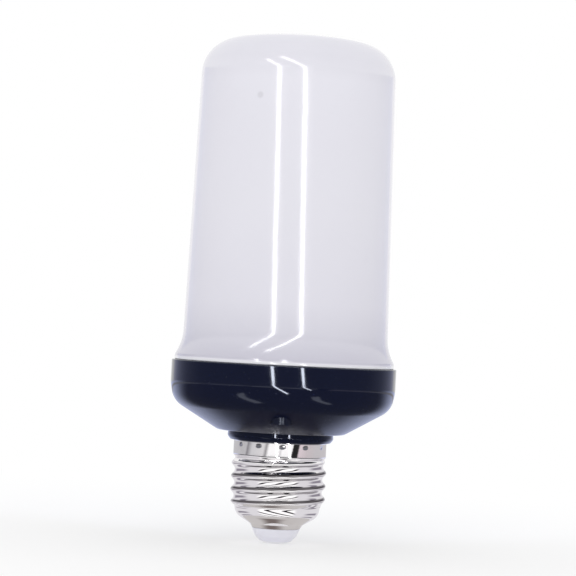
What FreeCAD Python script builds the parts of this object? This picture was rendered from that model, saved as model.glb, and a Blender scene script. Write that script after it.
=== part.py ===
import FreeCAD, Part
import math
import os
import re
import Sketcher

V = FreeCAD.Vector

# Lengths in millimetres, angles in degrees. The lamp stands on its centre contact, with its axis on +Z.
SIZES = {
    # clearances
    "fit_clearance": 0.1,
    "spigot_clearance": 0.3,
    # centre contact and the rivet above it
    "contact_radius": 4.4,
    "contact_thickness": 1.1,
    "contact_edge": 0.4,
    "rivet_radius": 1.5,
    "rivet_stand": 0.3,
    # insulator between the contact and the screw shell
    "insulator_tip_radius": 4.56,
    "insulator_rim_radius": 6.6,
    "insulator_drop": 3.1,
    "insulator_height": 4.3,
    "insulator_clearance": 0.2,
    # screw shell, rolled from sheet
    "sheet_thickness": 0.3,
    "lip_radius": 6.7,
    "lip_height": 1.0,
    "hem_radius": 7.4,
    "foot_inset": 0.43,
    "foot_angle": 31.0,
    "foot_bend": 3.5,
    "foot_height": 5.9,
    "step_height": 0.6,
    "thread_crest": 13.1,
    "thread_depth": 0.97,
    "thread_pitch": 3.629,
    "thread_turns": 3.9,
    "thread_rise": 5.6,
    "crest_width": 0.9,
    "run_out": 2.4,
    "band_inset": 0.35,
    "band_height": 4.2,
    "shell_height": 23.9,
    "stake_count": 10,
    "stake_ball": 1.6,
    "stake_depth": 0.2,
    "stake_drop": 1.1,
    "stake_angle": 277.5,
    # housing: neck, collar and bowl
    "neck_wall": 1.33,
    "neck_lift": 0.4,
    "collar_reach": 0.65,
    "collar_bevel": 1.2,
    "collar_bevel_height": 1.15,
    "collar_height": 2.5,
    "collar_shelf": 2.9,
    "cone_angle": 30.5,
    "rim_radius": 31.0,
    "bowl_height": 18.7,
    "bowl_bend": 7.0,
    "bowl_wall": 1.8,
    "boss_radius": 2.8,
    "boss_drop": 6.0,
    "rib_width": 1.2,
    "rib_reach": 2.0,
    "rib_root": 0.3,
    # shade
    "shade_wall": 1.2,
    "spigot_depth": 4.0,
    "ledge_inset": 0.7,
    "ledge_height": 1.6,
    "flare_inset": 0.2,
    "flare_reach": 1.9,
    "flare_height": 7.0,
    "shade_taper": 1.4,
    "shade_height": 90.6,
    "shade_bend": 10.0,
    "dome_radius": 100.0,
    # core that carries the lights, and its screws
    "core_headroom": 9.4,
    "core_wall": 1.2,
    "flange_clearance": 2.7,
    "flange_thickness": 2.0,
    "lead_hole_radius": 0.8,
    "screw_count": 3,
    "screw_inset": 3.5,
    "screw_shelf": 5.0,
    "screw_angle": 30.0,
    "screw_head_radius": 2.3,
    "screw_head_height": 1.5,
    "screw_shank_radius": 1.2,
    "screw_length": 7.5,
    "pilot_depth": 6.2,
    # flexible light sheet and its lights
    "light_sheet_thickness": 0.4,
    "light_sheet_margin": 4.0,
    "light_sheet_seam": 6.0,
    "led_width": 3.5,
    "led_height": 2.8,
    "led_depth": 0.8,
    "led_columns": 9,
    "led_rows": 11,
    "led_start": 7.2,
    "led_end": 1.0,
    # driver board and what is soldered to it
    "board_thickness": 1.6,
    "board_edge": 0.9,
    "board_slope": 35.0,
    "board_seat": 2.1,
    "board_stem_clearance": 0.8,
    "board_headroom": 0.6,
    "board_foot_height": 1.0,
    "fuse_radius": 1.9,
    "fuse_length": 9.0,
    "fuse_across": 4.2,
    "fuse_rise": 4.4,
    "mains_capacitor_radius": 4.0,
    "mains_capacitor_length": 12.0,
    "mains_capacitor_across": -2.0,
    "mains_capacitor_rise": 8.4,
    "supply_capacitor_radius": 4.0,
    "supply_capacitor_length": 9.4,
    "supply_capacitor_across": 7.5,
    "supply_capacitor_rise": 0.5,
    "crimp_depth": 0.35,
    "crimp_height": 1.6,
    "inductor_radius": 4.8,
    "inductor_height": 8.4,
    "inductor_waist": 2.4,
    "inductor_cheek": 1.2,
    "inductor_across": -6.4,
    "inductor_rise": 5.1,
    "winding_radius": 4.2,
    "bridge_width": 4.8,
    "bridge_height": 4.0,
    "bridge_depth": 1.6,
    "bridge_across": 0.0,
    "bridge_rise": 5.4,
    "driver_chip_width": 4.9,
    "driver_chip_height": 3.9,
    "driver_chip_depth": 1.5,
    "driver_chip_across": 0.0,
    "driver_chip_rise": 14.4,
    "diode_width": 2.6,
    "diode_height": 4.3,
    "diode_depth": 2.2,
    "diode_across": -8.0,
    "diode_rise": 3.0,
    "microcontroller_width": 4.9,
    "microcontroller_height": 3.9,
    "microcontroller_depth": 1.5,
    "microcontroller_across": 8.0,
    "microcontroller_rise": 3.5,
    # leads
    "lead_radius": 0.5,
    "live_lead_overlap": 6.4,
    "neutral_lead_start": 5.0,
    "supply_lead_overlap": 4.0,
    "supply_lead_lap": 5.6,
}

# Heights and radii that follow from the sizes above. A name that ends in _z is a height above the contact's face.
PLACES = {
    # screw shell
    "thread_root": "thread_crest - thread_depth",
    "band_radius": "thread_crest - band_inset",
    "foot_radius": "thread_root - foot_inset",
    "lip_z": "contact_thickness + insulator_drop + fit_clearance",
    "hem_z": "lip_z + lip_height",
    "foot_corner_z": "hem_z + (foot_radius - hem_radius) * tan(foot_angle)",
    "sheet_rise": "sheet_thickness / cos(foot_angle) - sheet_thickness * tan(foot_angle)",
    "foot_z": "lip_z + foot_height",
    "shell_top_z": "lip_z + shell_height",
    "band_z": "shell_top_z - band_height",
    "foot_bore": "foot_radius - sheet_thickness",
    "foot_bend_run": "foot_bend * tan((90 - foot_angle) / 2)",
    "shell_bore": "thread_root - sheet_thickness",
    "band_bore": "band_radius - sheet_thickness",
    # insulator
    "insulator_top_z": "lip_z + insulator_height",
    "insulator_neck": "lip_radius - sheet_thickness - fit_clearance",
    "insulator_seat": "hem_radius - sheet_thickness",
    "insulator_seat_z": "hem_z + sheet_rise + fit_clearance / cos(foot_angle)",
    "insulator_flange_radius": "foot_bore - foot_bend_run * cos(foot_angle) - insulator_clearance",
    "rivet_top_z": "insulator_top_z + rivet_stand",
    # housing
    "neck_radius": "shell_bore - fit_clearance",
    "neck_bore": "neck_radius - neck_wall",
    "neck_foot_z": "foot_z + step_height + neck_lift",
    "collar_foot_radius": "band_radius + collar_reach",
    "collar_top_radius": "collar_foot_radius + collar_bevel",
    "floor_radius": "collar_top_radius + collar_shelf",
    "bowl_z": "shell_top_z + collar_height",
    "floor_z": "bowl_z + bowl_wall",
    "rim_z": "bowl_z + bowl_height",
    "wall_rise": "bowl_wall / cos(cone_angle)",
    "bowl_bore": "rim_radius - bowl_wall",
    "boss_top_z": "rim_z - boss_drop",
    # shade
    "spigot_radius": "bowl_bore - spigot_clearance",
    "ledge_radius": "rim_radius - ledge_inset",
    "flare_radius": "ledge_radius - flare_inset",
    "shade_foot_radius": "flare_radius - flare_reach",
    "shade_crown_radius": "shade_foot_radius - shade_taper",
    "spigot_z": "rim_z - spigot_depth",
    "shade_top_z": "rim_z + shade_height",
    "flare_z": "rim_z + ledge_height + flare_height",
    "bend_centre": "shade_crown_radius - shade_bend",
    "bend_rise": "sqrt((dome_radius - shade_bend)^2 - bend_centre^2)",
    "bend_z": "shade_top_z - dome_radius + bend_rise",
    "bend_span": "hypot(bend_z - flare_z; shade_foot_radius - bend_centre)",
    "draft": "acos(shade_bend / bend_span) - atan2(bend_z - flare_z; shade_foot_radius - bend_centre)",
    # core, light sheet and leads
    "flange_radius": "bowl_bore - flange_clearance",
    "screw_circle": "flange_radius - screw_inset",
    "core_radius": "screw_circle - screw_shelf",
    "flange_z": "boss_top_z + flange_thickness",
    "core_top_z": "shade_top_z - shade_wall - core_headroom",
    "light_sheet_bore": "core_radius + fit_clearance",
    "light_sheet_radius": "light_sheet_bore + light_sheet_thickness",
    "light_sheet_height": "core_top_z - light_sheet_margin - flange_z",
    "led_span": "light_sheet_height - led_start - led_height - led_end",
    "shank_hole_radius": "screw_shank_radius + fit_clearance",
    "supply_lead_radius": "light_sheet_radius + fit_clearance + lead_radius",
    # driver board: its front face carries the leads, which run in the lamp's middle plane
    "board_front": "0 - lead_radius",
    "board_back": "board_front - board_thickness",
    "board_stem_radius": "neck_bore - board_stem_clearance",
    "board_shoulder_radius": "neck_bore + board_seat",
    "board_head_radius": "supply_lead_radius + board_edge",
    "board_foot_z": "insulator_top_z + board_foot_height",
    "board_slope_z": "floor_z + (board_head_radius - board_shoulder_radius) * tan(board_slope)",
    "board_top_z": "boss_top_z - board_headroom",
}

ALIAS = re.compile(r"\b(" + "|".join([*SIZES, *PLACES]) + r")\b")

document = FreeCAD.newDocument("flame_effect_lamp")


def fill_sheet():
    """Write the driving sizes and the places worked out from them, one named cell each."""
    sheet = document.addObject("Spreadsheet::Sheet", "Sizes")
    cells = {name: str(value) for name, value in SIZES.items()}
    cells.update({name: "=" + formula for name, formula in PLACES.items()})
    for row, (name, content) in enumerate(cells.items(), start=1):
        sheet.set(f"A{row}", name)
        sheet.set(f"B{row}", content)
        sheet.setAlias(f"B{row}", name)
    document.recompute()
    return sheet


sizes = fill_sheet()


def in_sheet(formula):
    """The formula with each size's name pointed at its cell."""
    return ALIAS.sub(r"Sizes.\1", formula)


def value(formula):
    """What a formula of size names comes to at present."""
    return float(sizes.evalExpression(in_sheet(formula)))


def bind(thing, **formulas):
    """Tie properties of an object to formulas of size names."""
    for name, formula in formulas.items():
        thing.setExpression(name, in_sheet(formula))


def place(thing, across="0", along="0", up="0"):
    """Tie an object's place along X, Y and Z to formulas of size names."""
    for axis, formula in zip("xyz", (across, along, up)):
        thing.setExpression(f"Placement.Base.{axis}", in_sheet(formula))


def new_body(name):
    body = document.addObject("PartDesign::Body", name)
    body.Label = name
    return body


def origin_part(body, role):
    return next(part for part in body.Origin.OriginFeatures if part.Role == role)


def new_sketch(body, name, plane, offset=None):
    """A sketch on one of the body's own origin planes, set off from it by a formula."""
    sketch = body.newObject("Sketcher::SketchObject", name)
    sketch.AttachmentSupport = [(origin_part(body, plane), "")]
    sketch.MapMode = "FlatFace"
    if offset:
        sketch.setExpression("AttachmentOffset.Base.z", in_sheet(offset))
    return sketch


def fix_point(sketch, piece, end, across, up):
    """Hold one end of a piece of geometry at two formulas of size names."""
    for kind, axis, formula in (("DistanceX", -2, across), ("DistanceY", -1, up)):
        reading = value(formula)
        if abs(reading) < 1e-9:
            sketch.addConstraint(Sketcher.Constraint("PointOnObject", piece, end, axis))
            continue
        number = sketch.addConstraint(Sketcher.Constraint(kind, -1, 1, piece, end, reading))
        sketch.setExpression(f"Constraints[{number}]", in_sheet(formula))


def arc_between(start, end, radius):
    """The short arc from start to end, which bulges to the right of the way for a positive radius."""
    chord = end - start
    sideways = V(chord.y, -chord.x, 0).normalize()
    bulge = abs(radius) - math.sqrt(radius**2 - (chord.Length / 2) ** 2)
    middle = (start + end) / 2 + sideways * math.copysign(bulge, radius)
    return Part.Arc(start, middle, end)


def draw_outline(sketch, corners):
    """Draw a closed outline of lines and arcs through corners.

    A corner is (across, up), or (across, up, radius) where an arc leads on from it. A positive
    radius bulges to the right of the way that the outline runs.
    """
    spots = [V(value(corner[0]), value(corner[1]), 0) for corner in corners]
    ends = []
    for index in range(len(corners)):
        after = (index + 1) % len(corners)
        if len(corners[index]) == 2:
            piece = sketch.addGeometry(Part.LineSegment(spots[index], spots[after]), False)
            first, last = 1, 2
        else:
            radius = value(corners[index][2])
            piece = sketch.addGeometry(arc_between(spots[index], spots[after], radius), False)
            first, last = (1, 2) if radius > 0 else (2, 1)
            formula = corners[index][2] if radius > 0 else f"0 - ({corners[index][2]})"
            number = sketch.addConstraint(Sketcher.Constraint("Radius", piece, abs(radius)))
            sketch.setExpression(f"Constraints[{number}]", in_sheet(formula))
        fix_point(sketch, piece, first, *corners[index][:2])
        ends.append((piece, first, last))
    for (piece, _, last), (following, first, _) in zip(ends, ends[1:] + ends[:1]):
        sketch.addConstraint(Sketcher.Constraint("Coincident", piece, last, following, first))


def draw_circle(sketch, radius, across="0", up="0"):
    """Draw a circle at two formulas of size names."""
    centre = V(value(across), value(up), 0)
    piece = sketch.addGeometry(Part.Circle(centre, V(0, 0, 1), value(radius)), False)
    fix_point(sketch, piece, 3, across, up)
    number = sketch.addConstraint(Sketcher.Constraint("Radius", piece, value(radius)))
    sketch.setExpression(f"Constraints[{number}]", in_sheet(radius))


def turn(body, name, corners, kind="Revolution", plane="XZ_Plane"):
    """Turn an outline of (radius, height) corners about the body's axis, as solid or as a groove."""
    sketch = new_sketch(body, f"{name}_outline", plane)
    draw_outline(sketch, corners)
    turned = body.newObject(f"PartDesign::{kind}", name)
    turned.Profile = sketch
    turned.ReferenceAxis = (sketch, ["V_Axis"])
    turned.Angle = 360
    document.recompute()
    return turned


def bend(across, up, radius, before, after):
    """The two corners of an arc that rounds a corner between two headings, given as angle formulas.

    Heading 0 runs outwards and heading 90 runs up.
    """
    half_turn = f"(({after}) - ({before})) / 2"
    left = value(half_turn) > 0
    run = f"({radius}) * tan({half_turn})" if left else f"({radius}) * tan(0 - {half_turn})"
    return [
        (
            f"{across} - {run} * cos({before})",
            f"{up} - {run} * sin({before})",
            radius if left else f"0 - ({radius})",
        ),
        (f"{across} + {run} * cos({after})", f"{up} + {run} * sin({after})"),
    ]


def bevel(across, up, radius, before, after):
    """The two corners of the flat that takes the place of such an arc."""
    return [corner[:2] for corner in bend(across, up, radius, before, after)]


def repeat_round(body, name, feature, count, angle="360"):
    """Repeat a feature round the body's axis."""
    pattern = body.newObject("PartDesign::PolarPattern", name)
    pattern.Originals = [feature]
    pattern.Axis = (origin_part(body, "Z_Axis"), [""])
    bind(pattern, Occurrences=count, Angle=angle)
    body.Tip = pattern
    document.recompute()
    return pattern


def cut_hole(body, name, radius, across, along, top, depth):
    """Cut a round hole down from a height."""
    sketch = new_sketch(body, f"{name}_circle", "XY_Plane", top)
    draw_circle(sketch, radius, across, along)
    hole = body.newObject("PartDesign::Pocket", name)
    hole.Profile = sketch
    bind(hole, Length=depth)
    document.recompute()
    return hole


def make_centre_contact():
    """The plated disc that touches the holder's spring, in one piece with the rivet that carries it."""
    body = new_body("centre_contact")
    turn(
        body,
        "rivet",
        [
            ("0", "0"),
            ("contact_radius - contact_edge", "0"),
            ("contact_radius", "contact_edge"),
            ("contact_radius", "contact_thickness"),
            ("rivet_radius", "contact_thickness"),
            ("rivet_radius", "rivet_top_z"),
            ("0", "rivet_top_z"),
        ],
    )
    return body


def make_insulator():
    """The moulded cone below the screw shell, with a flange that seats on the shell's turned-in foot."""
    body = new_body("insulator")
    turn(
        body,
        "moulding",
        [
            ("rivet_radius + fit_clearance", "contact_thickness"),
            ("insulator_tip_radius", "contact_thickness"),
            ("insulator_rim_radius", "lip_z - fit_clearance"),
            ("insulator_neck", "lip_z - fit_clearance"),
            ("insulator_neck", "insulator_seat_z"),
            ("insulator_seat", "insulator_seat_z"),
            (
                "insulator_flange_radius",
                "insulator_seat_z + (insulator_flange_radius - insulator_seat) * tan(foot_angle)",
            ),
            ("insulator_flange_radius", "insulator_top_z"),
            ("rivet_radius + fit_clearance", "insulator_top_z"),
        ],
    )
    return body


def make_screw_shell():
    """The rolled screw cap: plain band, knuckle thread, rounded foot and turned-in lip."""
    body = new_body("screw_shell")
    turn(
        body,
        "outside",
        [
            ("0", "lip_z"),
            ("lip_radius", "lip_z"),
            ("hem_radius", "hem_z"),
            *bend("foot_radius", "foot_corner_z", "foot_bend", "foot_angle", "90"),
            ("foot_radius", "foot_z"),
            ("thread_root", "foot_z + step_height"),
            ("thread_root", "band_z - step_height"),
            ("band_radius", "band_z"),
            ("band_radius", "shell_top_z"),
            ("0", "shell_top_z"),
        ],
    )
    middle = "(lip_z + thread_rise)"
    half_base = "(thread_pitch / 2 - fit_clearance)"
    ridge_foot = "thread_root - sheet_thickness / 2"
    ridge_section = new_sketch(body, "ridge_section", "YZ_Plane")
    draw_outline(
        ridge_section,
        [
            (ridge_foot, f"{middle} - {half_base}"),
            ("thread_crest", f"{middle} - crest_width / 2"),
            ("thread_crest", f"{middle} + crest_width / 2"),
            (ridge_foot, f"{middle} + {half_base}"),
        ],
    )
    ridge = body.newObject("PartDesign::AdditiveHelix", "thread_ridge")
    ridge.Profile = ridge_section
    ridge.ReferenceAxis = (ridge_section, ["V_Axis"])
    ridge.Mode = "pitch-turns-angle"
    bind(ridge, Pitch="thread_pitch", Turns="thread_turns")
    document.recompute()

    beyond = "thread_crest + 1"
    run_out_z = "foot_z - run_out / 2"
    turn(
        body,
        "lower_run_out",
        [
            ("foot_radius", "hem_z"),
            (beyond, "hem_z"),
            (beyond, f"{run_out_z} + run_out"),
            ("thread_crest", f"{run_out_z} + run_out"),
            ("foot_radius", run_out_z),
        ],
        kind="Groove",
    )
    turn(
        body,
        "upper_run_out",
        [
            ("band_radius", "band_z"),
            ("thread_crest", "band_z - step_height"),
            (beyond, "band_z - step_height"),
            (beyond, "shell_top_z"),
            ("band_radius", "shell_top_z"),
        ],
        kind="Groove",
    )
    turn(
        body,
        "inside",
        [
            ("0", "lip_z"),
            ("lip_radius - sheet_thickness", "lip_z"),
            ("hem_radius - sheet_thickness", "hem_z + sheet_rise"),
            *bevel("foot_bore", "foot_corner_z + sheet_rise", "foot_bend", "foot_angle", "90"),
            ("foot_bore", "foot_z"),
            ("shell_bore", "foot_z + step_height"),
            ("shell_bore", "band_z - step_height"),
            ("band_bore", "band_z"),
            ("band_bore", "shell_top_z"),
            ("0", "shell_top_z"),
        ],
        kind="Groove",
    )

    stake = body.newObject("PartDesign::SubtractiveSphere", "stake")
    bind(stake, Radius="stake_ball")
    reach = "(band_radius + stake_ball - stake_depth)"
    place(
        stake,
        f"{reach} * cos(stake_angle)",
        f"{reach} * sin(stake_angle)",
        "shell_top_z - stake_drop",
    )
    document.recompute()
    repeat_round(body, "stakes", stake, "stake_count")
    return body


def make_housing():
    """The moulded bowl with its neck, guide ribs for the board and bosses for the core's screws."""
    body = new_body("housing")
    turn(
        body,
        "bowl_and_neck",
        [
            ("neck_bore", "neck_foot_z"),
            ("neck_radius", "neck_foot_z"),
            ("neck_radius", "band_z + fit_clearance"),
            ("band_bore - fit_clearance", "band_z + fit_clearance"),
            ("band_bore - fit_clearance", "shell_top_z"),
            ("collar_foot_radius", "shell_top_z"),
            ("collar_top_radius", "shell_top_z + collar_bevel_height"),
            ("collar_top_radius", "bowl_z"),
            ("floor_radius", "bowl_z"),
            *bend(
                "rim_radius",
                "bowl_z + (rim_radius - floor_radius) * tan(cone_angle)",
                "bowl_bend",
                "cone_angle",
                "90",
            ),
            ("rim_radius", "rim_z"),
            ("bowl_bore", "rim_z"),
            *bend(
                "bowl_bore",
                "bowl_z + wall_rise + (bowl_bore - floor_radius) * tan(cone_angle)",
                "bowl_bend - bowl_wall",
                "0 - 90",
                "cone_angle - 180",
            ),
            ("floor_radius + (bowl_wall - wall_rise) / tan(cone_angle)", "floor_z"),
            ("neck_bore", "floor_z"),
        ],
    )

    boss_across = "screw_circle * cos(screw_angle)"
    boss_along = "screw_circle * sin(screw_angle)"
    boss_sketch = new_sketch(body, "boss_circle", "XY_Plane", "boss_top_z")
    draw_circle(boss_sketch, "boss_radius", boss_across, boss_along)
    boss = body.newObject("PartDesign::Pad", "boss")
    boss.Profile = boss_sketch
    boss.Reversed = True
    boss.Type = "UpToFirst"
    document.recompute()
    bosses = repeat_round(body, "bosses", boss, "screw_count")
    pilot = cut_hole(
        body, "pilot", "shank_hole_radius", boss_across, boss_along, "boss_top_z", "pilot_depth"
    )
    repeat_round(body, "pilots", pilot, "screw_count")

    rib_sketch = new_sketch(body, "rib_sections", "XY_Plane", "neck_foot_z")
    for side in ("", "0 - "):
        inner, outer = f"{side}(neck_bore - rib_reach)", f"{side}(neck_bore + rib_root)"
        for near, far in (
            ("board_front + fit_clearance", "board_front + fit_clearance + rib_width"),
            ("board_back - fit_clearance - rib_width", "board_back - fit_clearance"),
        ):
            draw_outline(rib_sketch, [(inner, near), (outer, near), (outer, far), (inner, far)])
    ribs = body.newObject("PartDesign::Pad", "guide_ribs")
    ribs.Profile = rib_sketch
    bind(ribs, Length="floor_z - neck_foot_z")
    document.recompute()
    return body


def make_shade():
    """The milky shade: spigot, ledge on the housing's rim, flare, drafted wall and domed top."""
    body = new_body("shade")
    spread = "(flare_radius - shade_foot_radius)"
    flare_arc = f"0 - ({spread}^2 + flare_height^2) / (2 * {spread})"

    def top_bend(inset):
        """The wall's end and the dome's start on a surface that lies the inset inside the outer one."""
        share = f"(dome_radius - {inset}) / (dome_radius - shade_bend)"
        wall_end = (
            f"bend_centre + (shade_bend - {inset}) * cos(draft)",
            f"bend_z + (shade_bend - {inset}) * sin(draft)",
        )
        dome_start = (
            f"bend_centre * {share}",
            f"shade_top_z - dome_radius + bend_rise * {share}",
        )
        return wall_end, dome_start

    outer_wall_end, outer_dome_start = top_bend("0")
    inner_wall_end, inner_dome_start = top_bend("shade_wall")
    turn(
        body,
        "wall",
        [
            ("spigot_radius - shade_wall", "spigot_z"),
            ("spigot_radius", "spigot_z"),
            ("spigot_radius", "rim_z"),
            ("ledge_radius", "rim_z"),
            ("flare_radius", "rim_z + ledge_height", flare_arc),
            ("shade_foot_radius", "flare_z"),
            (*outer_wall_end, "shade_bend"),
            (*outer_dome_start, "dome_radius"),
            ("0", "shade_top_z"),
            ("0", "shade_top_z - shade_wall", "0 - (dome_radius - shade_wall)"),
            (*inner_dome_start, "0 - (shade_bend - shade_wall)"),
            inner_wall_end,
            ("shade_foot_radius - shade_wall", "flare_z"),
            ("spigot_radius - shade_wall", "rim_z + shade_wall"),
        ],
    )
    return body


def make_core_tube():
    """The moulded tube, closed on top, that the light sheet wraps, with a flange screwed to the bosses."""
    body = new_body("core_tube")
    bore = "core_radius - core_wall"
    turn(
        body,
        "tube_and_flange",
        [
            (bore, "boss_top_z"),
            ("flange_radius", "boss_top_z"),
            ("flange_radius", "flange_z"),
            ("core_radius", "flange_z"),
            ("core_radius", "core_top_z"),
            ("0", "core_top_z"),
            ("0", "core_top_z - core_wall"),
            (bore, "core_top_z - core_wall"),
        ],
    )
    screw_hole = cut_hole(
        body,
        "screw_hole",
        "shank_hole_radius",
        "screw_circle * cos(screw_angle)",
        "screw_circle * sin(screw_angle)",
        "flange_z",
        "flange_thickness",
    )
    repeat_round(body, "screw_holes", screw_hole, "screw_count")
    lead_hole = cut_hole(
        body,
        "lead_hole",
        "lead_hole_radius",
        "supply_lead_radius",
        "0",
        "flange_z",
        "flange_thickness",
    )
    repeat_round(body, "lead_holes", lead_hole, "2")
    return body


def make_core_screws():
    """The screws that hold the core's flange down on the housing's bosses."""
    body = new_body("core_screws")
    body.AllowCompound = True
    sketch = new_sketch(body, "screw_axis_outline", "XZ_Plane")
    near = "screw_circle"
    draw_outline(
        sketch,
        [
            (near, "flange_z + flange_thickness - screw_length"),
            (f"{near} + screw_shank_radius", "flange_z + flange_thickness - screw_length"),
            (f"{near} + screw_shank_radius", "flange_z"),
            (f"{near} + screw_head_radius", "flange_z"),
            (f"{near} + screw_head_radius", "flange_z + screw_head_height"),
            (near, "flange_z + screw_head_height"),
        ],
    )
    screw = body.newObject("PartDesign::Revolution", "screw")
    screw.Profile = sketch
    screw.ReferenceAxis = (sketch, ["Edge6"])
    screw.Angle = 360
    document.recompute()
    repeat_round(body, "screws", screw, "screw_count")
    body.setExpression("Placement.Rotation.Angle", in_sheet("screw_angle"))
    return body


def make_light_sheet():
    """The flexible board wrapped round the core, its two ends a seam apart."""
    body = new_body("light_sheet")
    sheet = turn(
        body,
        "wrapped_board",
        [
            ("light_sheet_bore", "flange_z"),
            ("light_sheet_radius", "flange_z"),
            ("light_sheet_radius", "flange_z + light_sheet_height"),
            ("light_sheet_bore", "flange_z + light_sheet_height"),
        ],
    )
    sheet.Midplane = True
    bind(sheet, Angle="360 - light_sheet_seam")
    body.setExpression("Placement.Rotation.Angle", in_sheet("720 / led_columns"))
    return body


def make_side_lights():
    """The lights on the sheet, in columns and rows."""
    body = new_body("side_lights")
    body.AllowCompound = True
    sketch = new_sketch(body, "light_outline", "YZ_Plane", "light_sheet_radius")
    bottom, top = "flange_z + led_start", "flange_z + led_start + led_height"
    left, right = "0 - led_width / 2", "led_width / 2"
    draw_outline(sketch, [(left, bottom), (right, bottom), (right, top), (left, top)])
    light = body.newObject("PartDesign::Pad", "light")
    light.Profile = sketch
    bind(light, Length="led_depth")
    document.recompute()
    grid = body.newObject("PartDesign::MultiTransform", "grid")
    grid.Originals = [light]
    rows = document.addObject("PartDesign::LinearPattern", "rows")
    rows.Direction = (origin_part(body, "Z_Axis"), [""])
    bind(rows, Length="led_span", Occurrences="led_rows")
    columns = document.addObject("PartDesign::PolarPattern", "columns")
    columns.Axis = (origin_part(body, "Z_Axis"), [""])
    bind(columns, Occurrences="led_columns", Angle="360")
    grid.Transformations = [rows, columns]
    body.Tip = grid
    return body


def make_driver_board():
    """The upright board: a stem in the neck's guide ribs and a head that stands on the bowl's floor."""
    body = new_body("driver_board")
    sketch = new_sketch(body, "board_outline", "XZ_Plane", "0 - board_front")
    draw_outline(
        sketch,
        [
            ("0 - board_stem_radius", "board_foot_z"),
            ("board_stem_radius", "board_foot_z"),
            ("board_stem_radius", "floor_z"),
            ("board_shoulder_radius", "floor_z"),
            ("board_head_radius", "board_slope_z"),
            ("board_head_radius", "board_top_z"),
            ("0 - board_head_radius", "board_top_z"),
            ("0 - board_head_radius", "board_slope_z"),
            ("0 - board_shoulder_radius", "floor_z"),
            ("0 - board_stem_radius", "floor_z"),
        ],
    )
    board = body.newObject("PartDesign::Pad", "board")
    board.Profile = sketch
    bind(board, Length="board_thickness")
    document.recompute()
    return body


def make_block(name, prefix, level):
    """A moulded block that lies flat on the board's back face, above a level."""
    block = document.addObject("Part::Box", name)
    block.Label = name
    bind(
        block, Length=f"{prefix}_width", Width=f"{prefix}_depth", Height=f"{prefix}_height"
    )
    place(
        block,
        f"{prefix}_across - {prefix}_width / 2",
        f"board_back - {prefix}_depth",
        f"{level} + {prefix}_rise",
    )
    return block


def make_fuse_resistor():
    """The resistor that serves as the lamp's fuse, lying upright on the board's front face."""
    resistor = document.addObject("Part::Cylinder", "fuse_resistor")
    resistor.Label = "fuse_resistor"
    bind(resistor, Radius="fuse_radius", Height="fuse_length")
    place(resistor, "fuse_across", "board_front + fuse_radius", "board_foot_z + fuse_rise")
    return resistor


def make_capacitor(name, level):
    """A can capacitor, crimped near its sealed end, upright on the board's front face above a level."""
    body = new_body(name)
    radius, length = f"{name}_radius", f"{name}_length"
    turn(
        body,
        "can",
        [
            ("0", "0"),
            (radius, "0"),
            (radius, "crimp_height - crimp_depth"),
            (f"{radius} - crimp_depth", "crimp_height"),
            (radius, "crimp_height + crimp_depth"),
            (radius, length),
            ("0", length),
        ],
    )
    place(body, f"{name}_across", f"board_front + {radius}", f"{level} + {name}_rise")
    return body


def stand_on_board(body):
    """Turn a piece modelled along +Z so that it stands off the board's front face."""
    body.Placement.Rotation = FreeCAD.Rotation(V(1, 0, 0), -90)
    place(body, "inductor_across", "board_front", "floor_z + inductor_rise")


def make_inductor_core():
    """The ferrite drum with a cheek at each end."""
    body = new_body("inductor_core")
    turn(
        body,
        "drum",
        [
            ("0", "0"),
            ("inductor_radius", "0"),
            ("inductor_radius", "inductor_cheek"),
            ("inductor_waist", "inductor_cheek"),
            ("inductor_waist", "inductor_height - inductor_cheek"),
            ("inductor_radius", "inductor_height - inductor_cheek"),
            ("inductor_radius", "inductor_height"),
            ("0", "inductor_height"),
        ],
    )
    stand_on_board(body)
    return body


def make_inductor_winding():
    """The copper wound between the drum's cheeks."""
    body = new_body("inductor_winding")
    bore = "inductor_waist + fit_clearance"
    low, high = "inductor_cheek + fit_clearance", "inductor_height - inductor_cheek - fit_clearance"
    turn(
        body,
        "coil",
        [(bore, low), ("winding_radius", low), ("winding_radius", high), (bore, high)],
    )
    stand_on_board(body)
    return body


def make_leads():
    """The straight leads, laid on the board's front face: to the rivet, the shell and the light sheet."""
    live = document.addObject("Part::Cylinder", "live_lead")
    bind(live, Radius="lead_radius", Height="board_foot_z + live_lead_overlap - rivet_top_z")
    place(live, up="rivet_top_z")

    neutral = document.addObject("Part::Cylinder", "neutral_lead")
    wall = "foot_bore - 2 * fit_clearance"
    bind(neutral, Radius="lead_radius", Height=f"{wall} - neutral_lead_start")
    neutral.Placement.Rotation = FreeCAD.Rotation(V(0, 1, 0), -90)
    level = "neck_foot_z - fit_clearance - lead_radius"
    place(neutral, "0 - neutral_lead_start", up=level)

    supply = []
    for name, side in (("positive_lead", ""), ("negative_lead", "0 - ")):
        lead = document.addObject("Part::Cylinder", name)
        start = "board_top_z - supply_lead_overlap"
        bind(lead, Radius="lead_radius", Height=f"flange_z + supply_lead_lap - ({start})")
        place(lead, f"{side}supply_lead_radius", up=start)
        supply.append(lead)
    leads = [live, neutral, *supply]
    for lead in leads:
        lead.Label = lead.Name
    return leads


def check(thing):
    """Stop if a piece's features failed or its solid isn't sound."""
    failed = [part.Label for part in document.Objects if {"Invalid", "Error"} & set(part.State)]
    if failed:
        raise RuntimeError(f"not computed: {failed}")
    shape = thing.Shape
    if shape.isNull() or not shape.isValid() or not shape.Solids or shape.Volume <= 0:
        raise RuntimeError(f"{thing.Label} is not a sound solid")


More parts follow.
